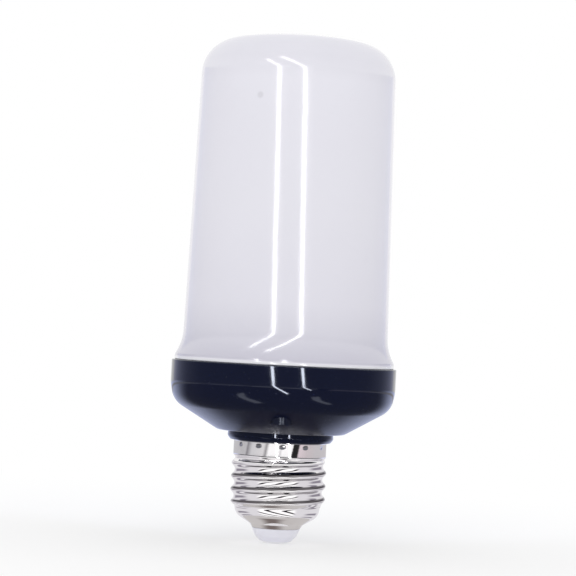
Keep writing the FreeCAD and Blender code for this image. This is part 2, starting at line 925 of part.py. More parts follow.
def main():
    pieces = [
        make_shade(),
        make_housing(),
        make_screw_shell(),
        make_insulator(),
        make_centre_contact(),
        make_core_tube(),
        make_core_screws(),
        make_light_sheet(),
        make_side_lights(),
        make_driver_board(),
        make_fuse_resistor(),
        make_block("bridge_rectifier", "bridge", "board_foot_z"),
        make_block("driver_chip", "driver_chip", "board_foot_z"),
        make_block("freewheel_diode", "diode", "floor_z"),
        make_block("microcontroller", "microcontroller", "floor_z"),
        make_capacitor("mains_capacitor", "board_foot_z"),
        make_capacitor("supply_capacitor", "floor_z"),
        make_inductor_core(),
        make_inductor_winding(),
        *make_leads(),
    ]
    document.recompute()
    for piece in pieces:
        check(piece)
    os.makedirs("parts", exist_ok=True)
    for piece in pieces:
        piece.Shape.exportStep(f"parts/{piece.Label}.step")
        print(f"{piece.Label}: {piece.Shape.Volume:.1f} mm3, {len(piece.Shape.Solids)} solids")


main()
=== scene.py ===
"""Looks for a flame effect lamp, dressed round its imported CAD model.

The classes hold lengths in millimetres and angles in degrees. Meshes are made in metres in the
CAD model's own frame, where the lamp stands on its centre contact with its axis on +Z.
"""

import logging
import math
from dataclasses import dataclass
from enum import Enum
from typing import Any, Callable, Optional, Sequence, Union

import bmesh
import bpy
from mathutils import Matrix, Vector


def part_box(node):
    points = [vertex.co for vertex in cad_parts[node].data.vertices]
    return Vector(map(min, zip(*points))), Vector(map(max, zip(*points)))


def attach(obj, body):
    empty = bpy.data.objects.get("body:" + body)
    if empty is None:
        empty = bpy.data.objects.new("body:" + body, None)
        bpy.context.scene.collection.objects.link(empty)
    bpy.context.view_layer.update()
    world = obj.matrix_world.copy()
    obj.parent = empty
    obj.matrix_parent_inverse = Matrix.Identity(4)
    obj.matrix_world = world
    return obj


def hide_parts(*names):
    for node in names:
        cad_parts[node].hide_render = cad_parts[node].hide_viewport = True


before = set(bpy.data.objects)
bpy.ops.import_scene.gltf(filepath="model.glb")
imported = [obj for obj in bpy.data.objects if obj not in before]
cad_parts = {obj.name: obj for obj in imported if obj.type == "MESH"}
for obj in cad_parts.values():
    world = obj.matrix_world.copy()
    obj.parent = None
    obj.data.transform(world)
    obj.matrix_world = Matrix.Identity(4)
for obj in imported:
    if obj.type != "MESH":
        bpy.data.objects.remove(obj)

MM = 0.001
WHITE = (1.0, 1.0, 1.0, 1.0)
LOG = logging.getLogger("lamp")

Point = tuple[float, float]
Place = tuple[float, float, float]
Colour = tuple[float, float, float]
Feed = Union["Value", float, int, bool, str, Sequence[float], bpy.types.ID]


class Slot(Enum):
    """The record's material slots."""

    SHADE = "milky_plastic"
    BOWL = "dark_plastic"
    SHELL = "plated_shell"
    INSULATOR = "white_plastic"
    CONTACT = "plated_contact"
    CORE = "core_plastic"
    SCREW = "screw_steel"
    LIGHT = "light_chip"


class SeenBy(Enum):
    """Which rays a piece of the studio is shown to."""

    ALL = "all"
    REFLECTIONS = "reflections"


# The node trees.


def operator(operation: str, swapped: bool = False) -> Callable[["Value", Feed], "Value"]:
    """A method of Value that adds a Math node.

    Args:
        operation: The node's operation.
        swapped: Whether the other operand comes first, as in 1 - mask.

    Returns:
        The method.
    """

    def method(this: "Value", other: Feed) -> "Value":
        """Add the node on the two operands."""
        return this.graph.maths(operation, *((other, this) if swapped else (this, other)))

    return method


class Value:
    """An output socket, on which Python's operators add Math nodes."""

    def __init__(self, graph: "Graph", socket: Optional[bpy.types.NodeSocket]) -> None:
        """Wrap a socket of a graph.

        Args:
            graph: The tree that the socket is in.
            socket: The output socket, or None for a node that has no output.
        """
        self.graph = graph
        self.socket = socket

    __add__, __radd__ = operator("ADD"), operator("ADD", True)
    __sub__, __rsub__ = operator("SUBTRACT"), operator("SUBTRACT", True)
    __mul__, __rmul__ = operator("MULTIPLY"), operator("MULTIPLY", True)
    __truediv__, __rtruediv__ = operator("DIVIDE"), operator("DIVIDE", True)
    __pow__, __rpow__ = operator("POWER"), operator("POWER", True)
    __gt__, __lt__ = operator("GREATER_THAN"), operator("LESS_THAN")

    def output(self, name: str) -> "Value":
        """Another output of the same node, by its name."""
        return Value(self.graph, Graph.find(self.socket.node.outputs, name))


class Graph:
    """A node tree under construction: a material's, the world's or a Geometry Nodes group."""

    def __init__(self, tree: bpy.types.NodeTree) -> None:
        """Work on a tree."""
        self.tree = tree

    @classmethod
    def of(cls, owner: bpy.types.ID) -> "Graph":
        """The emptied tree of a material or a world.

        Args:
            owner: The material or world, which gets nodes if it has none.

        Returns:
            The tree, ready for its first node.
        """
        owner.use_nodes = True
        owner.node_tree.nodes.clear()
        return cls(owner.node_tree)

    @staticmethod
    def find(
        sockets: Sequence[bpy.types.NodeSocket], key: Union[str, int]
    ) -> bpy.types.NodeSocket:
        """A socket by its number, its identifier or its name.

        Args:
            sockets: A node's inputs or outputs.
            key: The socket's number, identifier or name.

        Returns:
            The first socket that answers to the key.
        """
        if isinstance(key, int):
            return sockets[key]
        for socket in sockets:
            if key == socket.identifier:
                return socket
        return next(socket for socket in sockets if key == socket.name)

    def node(
        self,
        kind: str,
        settings: Optional[dict[str, Any]] = None,
        inputs: Optional[dict[Union[str, int], Feed]] = None,
        output: Union[str, int] = 0,
    ) -> Value:
        """Add a node.

        Args:
            kind: The node's type.
            settings: Its settings, set first. "stops" holds a ramp's (position, colour) pairs.
            inputs: The values or links of its sockets.
            output: Which output to return.

        Returns:
            The chosen output.
        """
        made = self.tree.nodes.new(kind)
        for name, setting in (settings or {}).items():
            if name == "stops":
                stops = made.color_ramp.elements
                while len(stops) < len(setting):
                    stops.new(1.0)
                for stop, (position, colour) in zip(stops, setting):
                    stop.position, stop.color = position, (*colour, 1.0)
            else:
                setattr(made, name, setting)
        for key, feed in (inputs or {}).items():
            socket = self.find(made.inputs, key)
            if isinstance(feed, Value):
                self.tree.links.new(feed.socket, socket)
            else:
                socket.default_value = feed
        return Value(self, self.find(made.outputs, output) if made.outputs else None)

    def maths(self, operation: str, *operands: Feed) -> Value:
        """Add a Math node of an operation on its operands."""
        return self.node("ShaderNodeMath", {"operation": operation}, dict(enumerate(operands)))

    def blend(self, share: Feed, first: Feed, second: Feed, way: str = "MIX") -> Value:
        """Mix two colours.

        Args:
            share: How much of the second colour.
            first: The first colour, or a value for a grey.
            second: The second colour, or a value for a grey.
            way: The blend type.

        Returns:
            The mixed colour.
        """
        sockets = {"Factor_Float": share, "A_Color": first, "B_Color": second}
        for key, feed in sockets.items():
            if isinstance(feed, tuple):
                sockets[key] = (*feed, 1.0)
        settings = {"data_type": "RGBA", "blend_type": way}
        return self.node("ShaderNodeMix", settings, sockets, "Result_Color")

    def step(self, value: Feed, start: Feed, end: Feed) -> Value:
        """A smooth step from 0 at start to 1 at end.

        Args:
            value: What is stepped.
            start: Where it is 0.
            end: Where it is 1.

        Returns:
            The step, from 0 to 1. With start above end it falls.
        """
        return self.node(
            "ShaderNodeMapRange",
            {"interpolation_type": "SMOOTHSTEP"},
            {"Value": value, "From Min": start, "From Max": end},
        )

    def window(self, value: Feed, rise: Point, fall: Point) -> Value:
        """1 within a range, 0 outside it and smooth between.

        Args:
            value: What is held against the range.
            rise: Where it starts to rise and where it has risen.
            fall: Where it has fallen and where it starts to fall.

        Returns:
            The share.
        """
        return self.step(value, *rise) * self.step(value, *fall)

    def on_thread(self, place: Sequence[Value], start: Feed, pitch: Feed) -> Value:
        """How many turns along a right-hand thread, a whole number on each crest.

        Args:
            place: The point's X, Y and Z.
            start: The height of a crest at the back.
            pitch: The thread's pitch.

        Returns:
            The number of turns.
        """
        across, along, up = place
        turn = self.maths("ARCTAN2", 0.0 - across, along)
        return (up - start) / pitch - turn / (2.0 * math.pi)

    def where(self) -> Value:
        """The point on Object coordinates."""
        return self.node("ShaderNodeTexCoord", output="Object")

    def place(self) -> tuple[Value, Value, Value]:
        """The point's X, Y and Z on Object coordinates, in millimetres."""
        apart = self.node("ShaderNodeSeparateXYZ", inputs={0: self.where()})
        return tuple(apart.output(axis) / MM for axis in "XYZ")

    def noise(self, scale: float, detail: float = 2.0, stretch: Place = (1, 1, 1)) -> Value:
        """Noise from 0 to 1 on Object coordinates.

        Args:
            scale: Features per metre.
            detail: Octaves of finer noise.
            stretch: How much the scale counts along each axis.

        Returns:
            The noise's factor.
        """
        mapped = self.node("ShaderNodeMapping", inputs={0: self.where(), "Scale": stretch})
        return self.node(
            "ShaderNodeTexNoise", inputs={"Vector": mapped, "Scale": scale, "Detail": detail}
        )

    def bump(self, height: Feed, strength: float, distance: float) -> Value:
        """A normal from a height.

        Args:
            height: The height from 0 to 1.
            strength: How much the bump counts.
            distance: The height's depth in millimetres.

        Returns:
            The bumped normal.
        """
        inputs = {"Height": height, "Strength": strength, "Distance": distance * MM}
        return self.node("ShaderNodeBump", inputs=inputs)


# The finishes.


@dataclass(frozen=True)
class Finish:
    """A material made of nodes, named after the finish."""

    name: str

    def sockets(self, graph: Graph) -> dict[str, Feed]:
        """What goes into the Principled shader's sockets."""
        raise NotImplementedError

    def material(self) -> bpy.types.Material:
        """The material, made when it is first asked for.

        Returns:
            The one material of this finish.
        """
        made = bpy.data.materials.get(self.name)
        if made is None:
            made = bpy.data.materials.new(self.name)
            graph = Graph.of(made)
            shader = graph.node("ShaderNodeBsdfPrincipled", inputs=self.sockets(graph))
            graph.node("ShaderNodeOutputMaterial", inputs={"Surface": shader})
        return made


@dataclass(frozen=True)
class MilkyPlastic(Finish):
    """Milky moulding with light and shade painted by height, faint clouds, a soft orange peel and
    specks.
    """

    painted_light_tones: tuple[tuple[float, Colour], ...] = ()
    specks: tuple[tuple[Place, float, float], ...] = ()
    roughness: float = 0.09

    def sockets(self, graph: Graph) -> dict[str, Feed]:
        """Painted light and shade by height, clouds and specks in the colour; peel in the normal.

        Args:
            graph: The material's tree.

        Returns:
            What feeds the shader's sockets, by their names.
        """
        # The colours by height are painted light and shade: a painted highlight at the ledge's
        # edge, and painted shade towards the foot and over the dome.
        low, high = self.painted_light_tones[0][0], self.painted_light_tones[-1][0]
        stops = [((height - low) / (high - low), colour) for height, colour in self.painted_light_tones]
        height = graph.place()[2]
        painted_light = graph.node(
            "ShaderNodeValToRGB", {"stops": stops}, {0: (height - low) / (high - low)}
        )
        shade = 1.0 - 0.035 * graph.noise(38.0, 3.0)
        where = graph.where()
        for place, radius, depth in self.specks:
            spot = tuple(length * MM for length in place)
            apart = graph.node(
                "ShaderNodeVectorMath", {"operation": "DISTANCE"}, {0: where, 1: spot}, "Value"
            )
            shade = shade * (1.0 - depth * graph.step(apart, radius * MM, 0.35 * radius * MM))
        return {
            "Base Color": graph.blend(1.0, painted_light, shade, "MULTIPLY"),
            "Roughness": self.roughness + 0.05 * graph.noise(120.0),
            "Normal": graph.bump(graph.noise(90.0, 1.0), 0.10, 0.10),
        }


@dataclass(frozen=True)
class PolishedPlastic(Finish):
    """Dark polished moulding with faint ripples and fine dust, satin between two heights."""

    colour: Colour
    dust: Colour
    satin_low: float
    satin_high: float
    tint: Colour
    satin: float = 0.15
    roughness: float = 0.05

    def sockets(self, graph: Graph) -> dict[str, Feed]:
        """Dust in the colour, dust and satin in the roughness, ripples in the normal.

        Args:
            graph: The material's tree.

        Returns:
            What feeds the shader's sockets, by their names.
        """
        low = self.satin_low
        satin = self.satin * graph.window(
            graph.place()[2], (low - 0.4, low + 0.4), (self.satin_high, low + 5.0)
        )
        specks = graph.step(graph.noise(1900.0, 1.0), 0.72, 0.80)
        clouds = graph.noise(60.0, 3.0)
        ripples = graph.noise(240.0, 1.0) * 0.5 + graph.noise(70.0, 1.0)
        return {
            "Base Color": graph.blend(specks * 0.35, graph.blend(
                clouds, self.colour, tuple(1.5 * part for part in self.colour)
            ), self.dust),
            "Roughness": self.roughness + 0.03 * clouds + 0.15 * specks + satin,
            "Specular Tint": (*self.tint, 1.0),
            "Normal": graph.bump(ripples, 0.12, 0.10),
        }


@dataclass(frozen=True)
class PlatedSheet(Finish):
    """Bright plate over rolled sheet, with faint rolling lines, haze and spots of tarnish."""

    colour: Colour
    tarnish: Colour
    roughness: float = 0.06
    haze: float = 0.05
    lines: float = 0.04
    waves: float = 0.25

    def sockets(self, graph: Graph) -> dict[str, Feed]:
        """Tarnish in the colour, haze in the roughness, rolling lines and waves in the normal.

        Args:
            graph: The material's tree.

        Returns:
            What feeds the shader's sockets, by their names.
        """
        haze = graph.noise(420.0, 4.0)
        rolled = graph.noise(160.0, 2.0, (0.4, 0.4, 14.0))
        stained = graph.step(graph.noise(140.0, 3.0), 0.50, 0.78)
        waves = graph.noise(110.0, 1.0)
        return {
            "Base Color": graph.blend(stained * 0.55, self.colour, self.tarnish),
            "Metallic": 1.0,
            "Roughness": self.roughness + self.haze * (haze + stained),
            "Normal": graph.bump(waves * self.waves + rolled * self.lines, 0.5, 0.12),
        }


@dataclass(frozen=True)
class RolledPlate(PlatedSheet):
    """Plate over a rolled thread, with a dark line along each crest's upper flank that is a
    painted reflection of the dark bowl.
    """

    painted_reflection_line: Colour = (0.060, 0.052, 0.056)
    painted_reflection_low: float = 0.02
    painted_reflection_high: float = 0.74
    painted_reflection_soft: float = 0.14
    thread_low: float = 11.0
    thread_high: float = 21.6

    def sockets(self, graph: Graph) -> dict[str, Feed]:
        """The plate's sockets, with the painted reflection line laid over its colour.

        Args:
            graph: The material's tree.

        Returns:
            What feeds the shader's sockets, by their names.
        """
        made = super().sockets(graph)
        place = graph.place()
        phase = graph.on_thread(place, ScrewCap.thread_start, ScrewCap.pitch)
        above = (phase - graph.maths("ROUND", phase)) * ScrewCap.pitch
        # The dark line along each crest's upper flank is a painted reflection of the dark bowl,
        # not tarnish.
        low, high, soft = self.painted_reflection_low, self.painted_reflection_high, self.painted_reflection_soft
        painted_reflection_line = graph.window(above, (low - soft, low + soft), (high + soft, high - soft))
        rolled = graph.window(
            place[2], (self.thread_low, self.thread_low + 0.5),
            (self.thread_high, self.thread_high - 0.8),
        )
        share = painted_reflection_line * rolled * (0.78 + 0.22 * graph.noise(180.0, 2.0))
        return {**made, "Base Color": graph.blend(share, made["Base Color"], self.painted_reflection_line)}


@dataclass(frozen=True)
class PlainMoulding(Finish):
    """Pale or dark moulding with a fine grain and faint clouds."""

    colour: Colour
    clouds: Colour
    roughness: float = 0.35
    grain: float = 700.0
    depth: float = 0.03

    def sockets(self, graph: Graph) -> dict[str, Feed]:
        """Clouds in the colour, grain in the roughness and normal.

        Args:
            graph: The material's tree.

        Returns:
            What feeds the shader's sockets, by their names.
        """
        grain = graph.noise(self.grain, 2.0)
        return {
            "Base Color": graph.blend(graph.noise(90.0, 3.0), self.colour, self.clouds),
            "Roughness": self.roughness + 0.08 * grain,
            "Normal": graph.bump(grain, 0.2, self.depth),
        }


@dataclass(frozen=True)
class BoardMask(Finish):
    """Solder mask over copper tracks, with soldered pads."""

    mask: Colour
    track: Colour
    scale: float = 260.0
    pad: float = 0.16

    def sockets(self, graph: Graph) -> dict[str, Feed]:
        """Tracks and pads from cells on Object coordinates.

        Args:
            graph: The material's tree.

        Returns:
            What feeds the shader's sockets, by their names.
        """
        scale = {"Scale": self.scale, "Vector": graph.where()}
        edge = graph.node("ShaderNodeTexVoronoi", {"feature": "DISTANCE_TO_EDGE"}, scale)
        centre = graph.node("ShaderNodeTexVoronoi", {"feature": "F1"}, scale)
        track = edge < 0.07
        pad = centre < self.pad
        covered = graph.blend(track, self.mask, self.track)
        return {
            "Base Color": graph.blend(pad, covered, (0.62, 0.62, 0.60)),
            "Metallic": pad,
            "Roughness": 0.38 - 0.12 * pad,
            "Normal": graph.bump(track + pad, 0.3, 0.04),
        }


@dataclass(frozen=True)
class Sleeve(Finish):
    """A shrunk sleeve with a pale stripe down one side, open over the bare can's top."""

    colour: Colour
    stripe: Colour
    stripe_from: float
    top: float

    def sockets(self, graph: Graph) -> dict[str, Feed]:
        """The stripe by X and the bare top by height.

        Args:
            graph: The material's tree.

        Returns:
            What feeds the shader's sockets, by their names.
        """
        across, _, up = graph.place()
        bare = graph.step(up, self.top - 0.3, self.top - 0.2)
        sleeve = graph.blend(across > self.stripe_from, self.colour, self.stripe)
        return {
            "Base Color": graph.blend(bare, sleeve, (0.72, 0.72, 0.73)),
            "Metallic": bare,
            "Roughness": 0.26 + 0.12 * graph.noise(900.0),
        }


@dataclass(frozen=True)
class BandedCoat(Finish):
    """A resistor's coating with colour bands along its length."""

    colour: Colour
    bands: tuple[tuple[float, Colour], ...]
    low: float
    high: float

    def sockets(self, graph: Graph) -> dict[str, Feed]:
        """Bands by height on a dull coating.

        Args:
            graph: The material's tree.

        Returns:
            What feeds the shader's sockets, by their names.
        """
        up = graph.place()[2]
        coat: Feed = self.colour
        for height, band in self.bands:
            inside = graph.maths("COMPARE", (up - self.low) / (self.high - self.low), height, 0.04)
            coat = graph.blend(inside, coat, band)
        return {"Base Color": coat, "Roughness": 0.5 + 0.1 * graph.noise(800.0)}


@dataclass(frozen=True)
class WoundWire(Finish):
    """Enamelled wire laid in turns along Y, with painted shade in the grooves between turns."""

    colour: Colour
    painted_groove_shade: Colour
    pitch: float = 0.38

    def sockets(self, graph: Graph) -> dict[str, Feed]:
        """Each turn's crown, and painted shade in the groove beside it.

        Args:
            graph: The material's tree.

        Returns:
            What feeds the shader's sockets, by their names.
        """
        along = graph.place()[1]
        crown = 0.5 + 0.5 * graph.maths("COSINE", along * (2.0 * math.pi / self.pitch))
        # The dark groove colour is painted shade between the turns.
        return {
            "Base Color": graph.blend(crown, self.painted_groove_shade, self.colour),
            "Metallic": 1.0,
            "Roughness": 0.3 + 0.1 * graph.noise(600.0),
            "Normal": graph.bump(crown, 0.8, 0.12),
        }


# The shade's colours by height are painted light and shade: a painted highlight along the ledge's
# edge near 50 mm, and painted shade darker towards the foot and over the dome above 126 mm.
MILKY = MilkyPlastic(
    "milky_shade_plastic",
    painted_light_tones=(
        (45.0, (0.58, 0.57, 0.65)),
        (49.5, (0.88, 0.88, 0.92)),
        (50.0, (0.88, 0.88, 0.92)),
        (50.6, (0.538, 0.527, 0.607)),
        (54.0, (0.590, 0.581, 0.656)),
        (58.0, (0.669, 0.660, 0.732)),
        (66.0, (0.735, 0.725, 0.792)),
        (90.0, (0.770, 0.762, 0.822)),
        (126.0, (0.770, 0.762, 0.826)),
        (132.0, (0.712, 0.704, 0.766)),
        (140.0, (0.705, 0.697, 0.758)),
    ),
    specks=(((-9.9, -25.0, 121.0), 1.2, 0.13), ((9.0, -25.5, 74.0), 0.5, 0.06)),
)
BOWL_GLOSS = PolishedPlastic(
    "bowl_gloss", (0.0035, 0.0048, 0.0160), (0.05, 0.055, 0.07), satin_low=31.0, satin_high=43.0,
    tint=(0.80, 0.86, 1.0),
)
# The shell's dark lines along the crests are a painted reflection of the dark bowl.
SHELL_PLATE = RolledPlate(
    "shell_plate", (0.86, 0.84, 0.85), (0.76, 0.72, 0.72), 0.02, haze=0.018, lines=0.01, waves=0.1
)
CONTACT_PLATE = PlatedSheet(
    "contact_plate", (0.92, 0.92, 0.95), (0.82, 0.81, 0.84), roughness=0.42, lines=0.01, waves=0.05
)
TIP_MOULDING = PlainMoulding("tip_moulding", (0.88, 0.88, 0.95), (0.84, 0.84, 0.92), 0.30)
CORE_MOULDING = PlainMoulding("core_moulding", (0.80, 0.80, 0.78), (0.72, 0.72, 0.70), 0.45)
PACKAGE_MOULDING = PlainMoulding("package_moulding", (0.82, 0.82, 0.80), (0.76, 0.76, 0.74), 0.4)
WINDOW_RESIN = PlainMoulding("window_resin", (0.80, 0.62, 0.12), (0.72, 0.50, 0.08), 0.12)
CHIP_RESIN = PlainMoulding("chip_resin", (0.020, 0.020, 0.022), (0.035, 0.035, 0.037), 0.55)
FERRITE = PlainMoulding("fired_ferrite", (0.050, 0.050, 0.055), (0.09, 0.09, 0.095), 0.6)
LEAD_RED = PlainMoulding("lead_red_sleeve", (0.60, 0.03, 0.02), (0.48, 0.02, 0.015), 0.3)
LEAD_BLACK = PlainMoulding("lead_black_sleeve", (0.02, 0.02, 0.02), (0.035, 0.035, 0.035), 0.3)
SCREW_PLATE = PlatedSheet("screw_plate", (0.55, 0.55, 0.56), (0.42, 0.41, 0.38), 0.25)
GREEN_MASK = BoardMask("green_mask", (0.02, 0.18, 0.055), (0.05, 0.30, 0.10))
WHITE_MASK = BoardMask("white_mask", (0.82, 0.82, 0.80), (0.74, 0.73, 0.68), 190.0, 0.08)
RESISTOR_COAT = BandedCoat(
    "resistor_coat",
    (0.10, 0.28, 0.20),
    ((0.2, (0.30, 0.02, 0.01)), (0.38, (0.02, 0.02, 0.02)), (0.56, (0.02, 0.02, 0.02)),
     (0.8, (0.55, 0.38, 0.05))),
    14.0,
    23.0,
)
# The winding's second colour is painted shade for the grooves between turns.
WINDING = WoundWire("enamelled_winding", (0.72, 0.30, 0.12), (0.16, 0.05, 0.02))


# Outlines and meshes.


@dataclass(frozen=True)
class Corner:
    """A corner of an outline: how far from the axis, how high, and the radius that rounds it."""

    across: float
    up: float
    rounding: float = 0.0


def rounded(corners: Sequence[Corner], turn_step: float = 7.5) -> list[Point]:
    """Round the corners of a closed outline.

    Args:
        corners: The outline's corners, in order.
        turn_step: The most that the outline turns between two points of an arc.

    Returns:
        The outline's points.
    """
    points: list[Point] = []
    for index, corner in enumerate(corners):
        here = Vector((corner.across, corner.up))
        if not corner.rounding:
            points.append((here.x, here.y))
            continue
        last, following = corners[index - 1], corners[(index + 1) % len(corners)]
        back = (Vector((last.across, last.up)) - here).normalized()
        ahead = (Vector((following.across, following.up)) - here).normalized()
        turn = math.pi - back.angle(ahead)
        start = back * corner.rounding * math.tan(turn / 2)
        centre = (back + ahead).normalized() * corner.rounding / math.cos(turn / 2)
        arm = start - centre
        side = 1.0 if back.x * ahead.y - back.y * ahead.x < 0 else -1.0
        steps = max(2, math.ceil(math.degrees(turn) / turn_step))
        for step in range(steps + 1):
            angle = side * turn * step / steps
            spoke = Vector((
                arm.x * math.cos(angle) - arm.y * math.sin(angle),
                arm.x * math.sin(angle) + arm.y * math.cos(angle),
            ))
            spot = here + centre + spoke
            points.append((spot.x, spot.y))
    return points


def arc(centre: Point, radius: float, start: float, end: float, steps: int) -> list[Point]:
    """Points on an arc, its angles measured from outwards towards upwards.

    Args:
        centre: The arc's centre.
        radius: Its radius.
        start: The angle that it starts at.
        end: The angle that it ends at.
        steps: How many chords it has.

    Returns:
        The arc's points, both ends included.
    """
    angles = [math.radians(start + (end - start) * step / steps) for step in range(steps + 1)]
    return [
        (centre[0] + radius * math.cos(angle), centre[1] + radius * math.sin(angle))
        for angle in angles
    ]


def close_set(points: Sequence[Point], most: float, low: float, high: float) -> list[Point]:
    """Add points to an outline's straight runs between two heights.

    Args:
        points: A closed outline.
        most: The longest run that may stay.
        low: The height above which runs are divided.
        high: The height below which runs are divided.

    Returns:
        The outline with the added points.
    """
    filled: list[Point] = []
    for start, end in zip(points, [*points[1:], points[0]]):
        inside = min(start[1], end[1]) >= low and max(start[1], end[1]) <= high
        pieces = max(1, math.ceil(math.dist(start, end) / most)) if inside else 1
        for piece in range(pieces):
            share = piece / pieces
            filled.append((
                start[0] + (end[0] - start[0]) * share,
                start[1] + (end[1] - start[1]) * share,
            ))
    return filled


def new_piece(name: str, mesh: bpy.types.Mesh) -> bpy.types.Object:
    """Link an object that shows a mesh, its place in the mesh.

    Args:
        name: The piece's name.
        mesh: Its mesh, in metres.

    Returns:
        The piece.
    """
    piece = bpy.data.objects.new(name, mesh)
    bpy.context.scene.collection.objects.link(piece)
    return piece


def smooth(mesh: bpy.types.Mesh, sharp: float = 34.0) -> None:
    """Shade a mesh smooth but for edges that turn by more than an angle."""
    mesh.polygons.foreach_set("use_smooth", [True] * len(mesh.polygons))
    mesh.set_sharp_from_angle(angle=math.radians(sharp))


def keep_made(piece: bpy.types.Object) -> None:
    """Turn what a piece's modifiers make into its plain mesh.

    Args:
        piece: The piece, whose modifiers are removed.
    """
    depsgraph = bpy.context.evaluated_depsgraph_get()
    made = bpy.data.meshes.new_from_object(piece.evaluated_get(depsgraph))
    piece.modifiers.clear()
    made.name = piece.name
    piece.data = made


def move_out(piece: bpy.types.Object, circle: float, turn: float) -> None:
    """Move a piece's mesh from the axis onto a circle, at a turn from +X.

    Args:
        piece: The piece, made on the axis.
        circle: The circle's radius in millimetres.
        turn: The turn from +X in degrees.
    """
    angle = math.radians(turn)
    spot = Vector((math.cos(angle), math.sin(angle), 0.0)) * circle * MM
    piece.data.transform(Matrix.Translation(spot))


def lathe(name: str, loop: Sequence[Point], segments: int = 192) -> bpy.types.Object:
    """Turn a closed outline about the lamp's axis.

    Args:
        name: The piece's name.
        loop: The outline, up its outer side and down its inner side.
        segments: How many faces go round.

    Returns:
        The turned piece.
    """
    turns = [2.0 * math.pi * number / segments for number in range(segments)]
    vertices: list[Place] = []
    rings: list[list[int]] = []
    for across, up in loop:
        first = len(vertices)
        if across < 1e-6:
            vertices.append((0.0, 0.0, up * MM))
        else:
            radius = across * MM
            vertices.extend(
                (radius * math.cos(turn), radius * math.sin(turn), up * MM) for turn in turns
            )
        rings.append(list(range(first, len(vertices))))
    faces = []
    for ring, following in zip(rings, [*rings[1:], rings[0]]):
        if len(ring) == 1 and len(following) == 1:
            continue
        for number in range(segments):
            after = (number + 1) % segments
            corners = (
                ring[number % len(ring)],
                ring[after % len(ring)],
                following[after % len(following)],
                following[number % len(following)],
            )
            faces.append(tuple(dict.fromkeys(corners)))
    mesh = bpy.data.meshes.new(name)
    mesh.from_pydata(vertices, [], faces)
    smooth(mesh)
    return new_piece(name, mesh)


def block(name: str, low: Place, high: Place, bevel: float) -> bpy.types.Object:
    """A block between two corners with rounded edges.

    Args:
        name: The piece's name.
        low: Its lowest corner.
        high: Its highest corner.
        bevel: The radius of its edges.

    Returns:
        The block.
    """
    grid = bmesh.new()
    bmesh.ops.create_cube(grid, size=1.0)
    size = [(top - bottom) * MM for bottom, top in zip(low, high)]
    middle = [(top + bottom) / 2 * MM for bottom, top in zip(low, high)]
    bmesh.ops.transform(
        grid,
        matrix=Matrix.Translation(middle) @ Matrix.Diagonal((*size, 1.0)),
        verts=grid.verts,
    )
    bmesh.ops.bevel(
        grid, geom=grid.edges[:], offset=bevel * MM, segments=2, profile=0.5, affect="EDGES"
    )
    mesh = bpy.data.meshes.new(name)
    grid.to_mesh(mesh)
    grid.free()
    smooth(mesh)
    return new_piece(name, mesh)


# Geometry Nodes for what repeats and for the rolled thread.


class Group:
    """A Geometry Nodes group under construction, with named inputs."""

    KINDS = {
        "geometry": "NodeSocketGeometry",
        "number": "NodeSocketFloat",
        "count": "NodeSocketInt",
        "finish": "NodeSocketMaterial",
    }

    def __init__(self, name: str, inputs: dict[str, str]) -> None:
        """Start a group.

        Args:
            name: The group's name.
            inputs: The kind of each named input, beside the geometry and the finish.
        """
        self.tree = bpy.data.node_groups.new(name, "GeometryNodeTree")
        sides = {"Geometry": "geometry", **inputs, "Finish": "finish"}
        for title, kind in sides.items():
            self.tree.interface.new_socket(title, in_out="INPUT", socket_type=self.KINDS[kind])
        self.tree.interface.new_socket(
            "Geometry", in_out="OUTPUT", socket_type=self.KINDS["geometry"]
        )
        self.graph = Graph(self.tree)
        self.entry = self.graph.node("NodeGroupInput")

    def close(self, shape: Value) -> None:
        """End the group: real geometry, in its finish.

        Args:
            shape: The geometry to hand out.
        """
        real = self.graph.node("GeometryNodeRealizeInstances", inputs={0: shape})
        dressed = self.graph.node(
            "GeometryNodeSetMaterial",
            inputs={"Geometry": real, "Material": self.entry.output("Finish")},
        )
        self.graph.node("NodeGroupOutput", inputs={0: dressed})

    def grow(self, piece: bpy.types.Object, finish: Finish, **sizes: float) -> None:
        """Run the group on a piece and keep what it makes as a plain mesh.

        Args:
            piece: The piece to work on.
            finish: The finish that it ends in.
            sizes: The group's inputs by name, with _ for a space.
        """
        given = {name.replace("_", " "): size for name, size in sizes.items()}
        given["Finish"] = finish.material()
        modifier = piece.modifiers.new(self.tree.name, "NODES")
        modifier.node_group = self.tree
        for socket in self.tree.interface.items_tree:
            if socket.in_out == "INPUT" and socket.name in given:
                modifier[socket.identifier] = given[socket.name]
        keep_made(piece)


def round_grid() -> Group:
    """A group that repeats a piece round the axis in columns, and upwards in rows.

    Returns:
        The group, with named inputs for its numbers and sizes.
    """
    group = Group("round_grid", {"columns": "count", "rows": "count", "row pitch": "number"})
    graph, entry = group.graph, group.entry
    columns = entry.output("columns")
    index = graph.node("GeometryNodeInputIndex")
    row = graph.maths("FLOOR", (index + 0.5) / columns)
    column = index - row * columns
    points = graph.node(
        "GeometryNodePoints",
        inputs={
            "Count": columns * entry.output("rows"),
            "Position": graph.node(
                "ShaderNodeCombineXYZ", inputs={"Z": row * entry.output("row pitch")}
            ),
        },
    )
    turn = graph.node("ShaderNodeCombineXYZ", inputs={"Z": column * (2.0 * math.pi) / columns})
    copies = graph.node(
        "GeometryNodeInstanceOnPoints",
        inputs={"Points": points, "Instance": entry.output("Geometry"), "Rotation": turn},
    )
    group.close(copies)
    return group


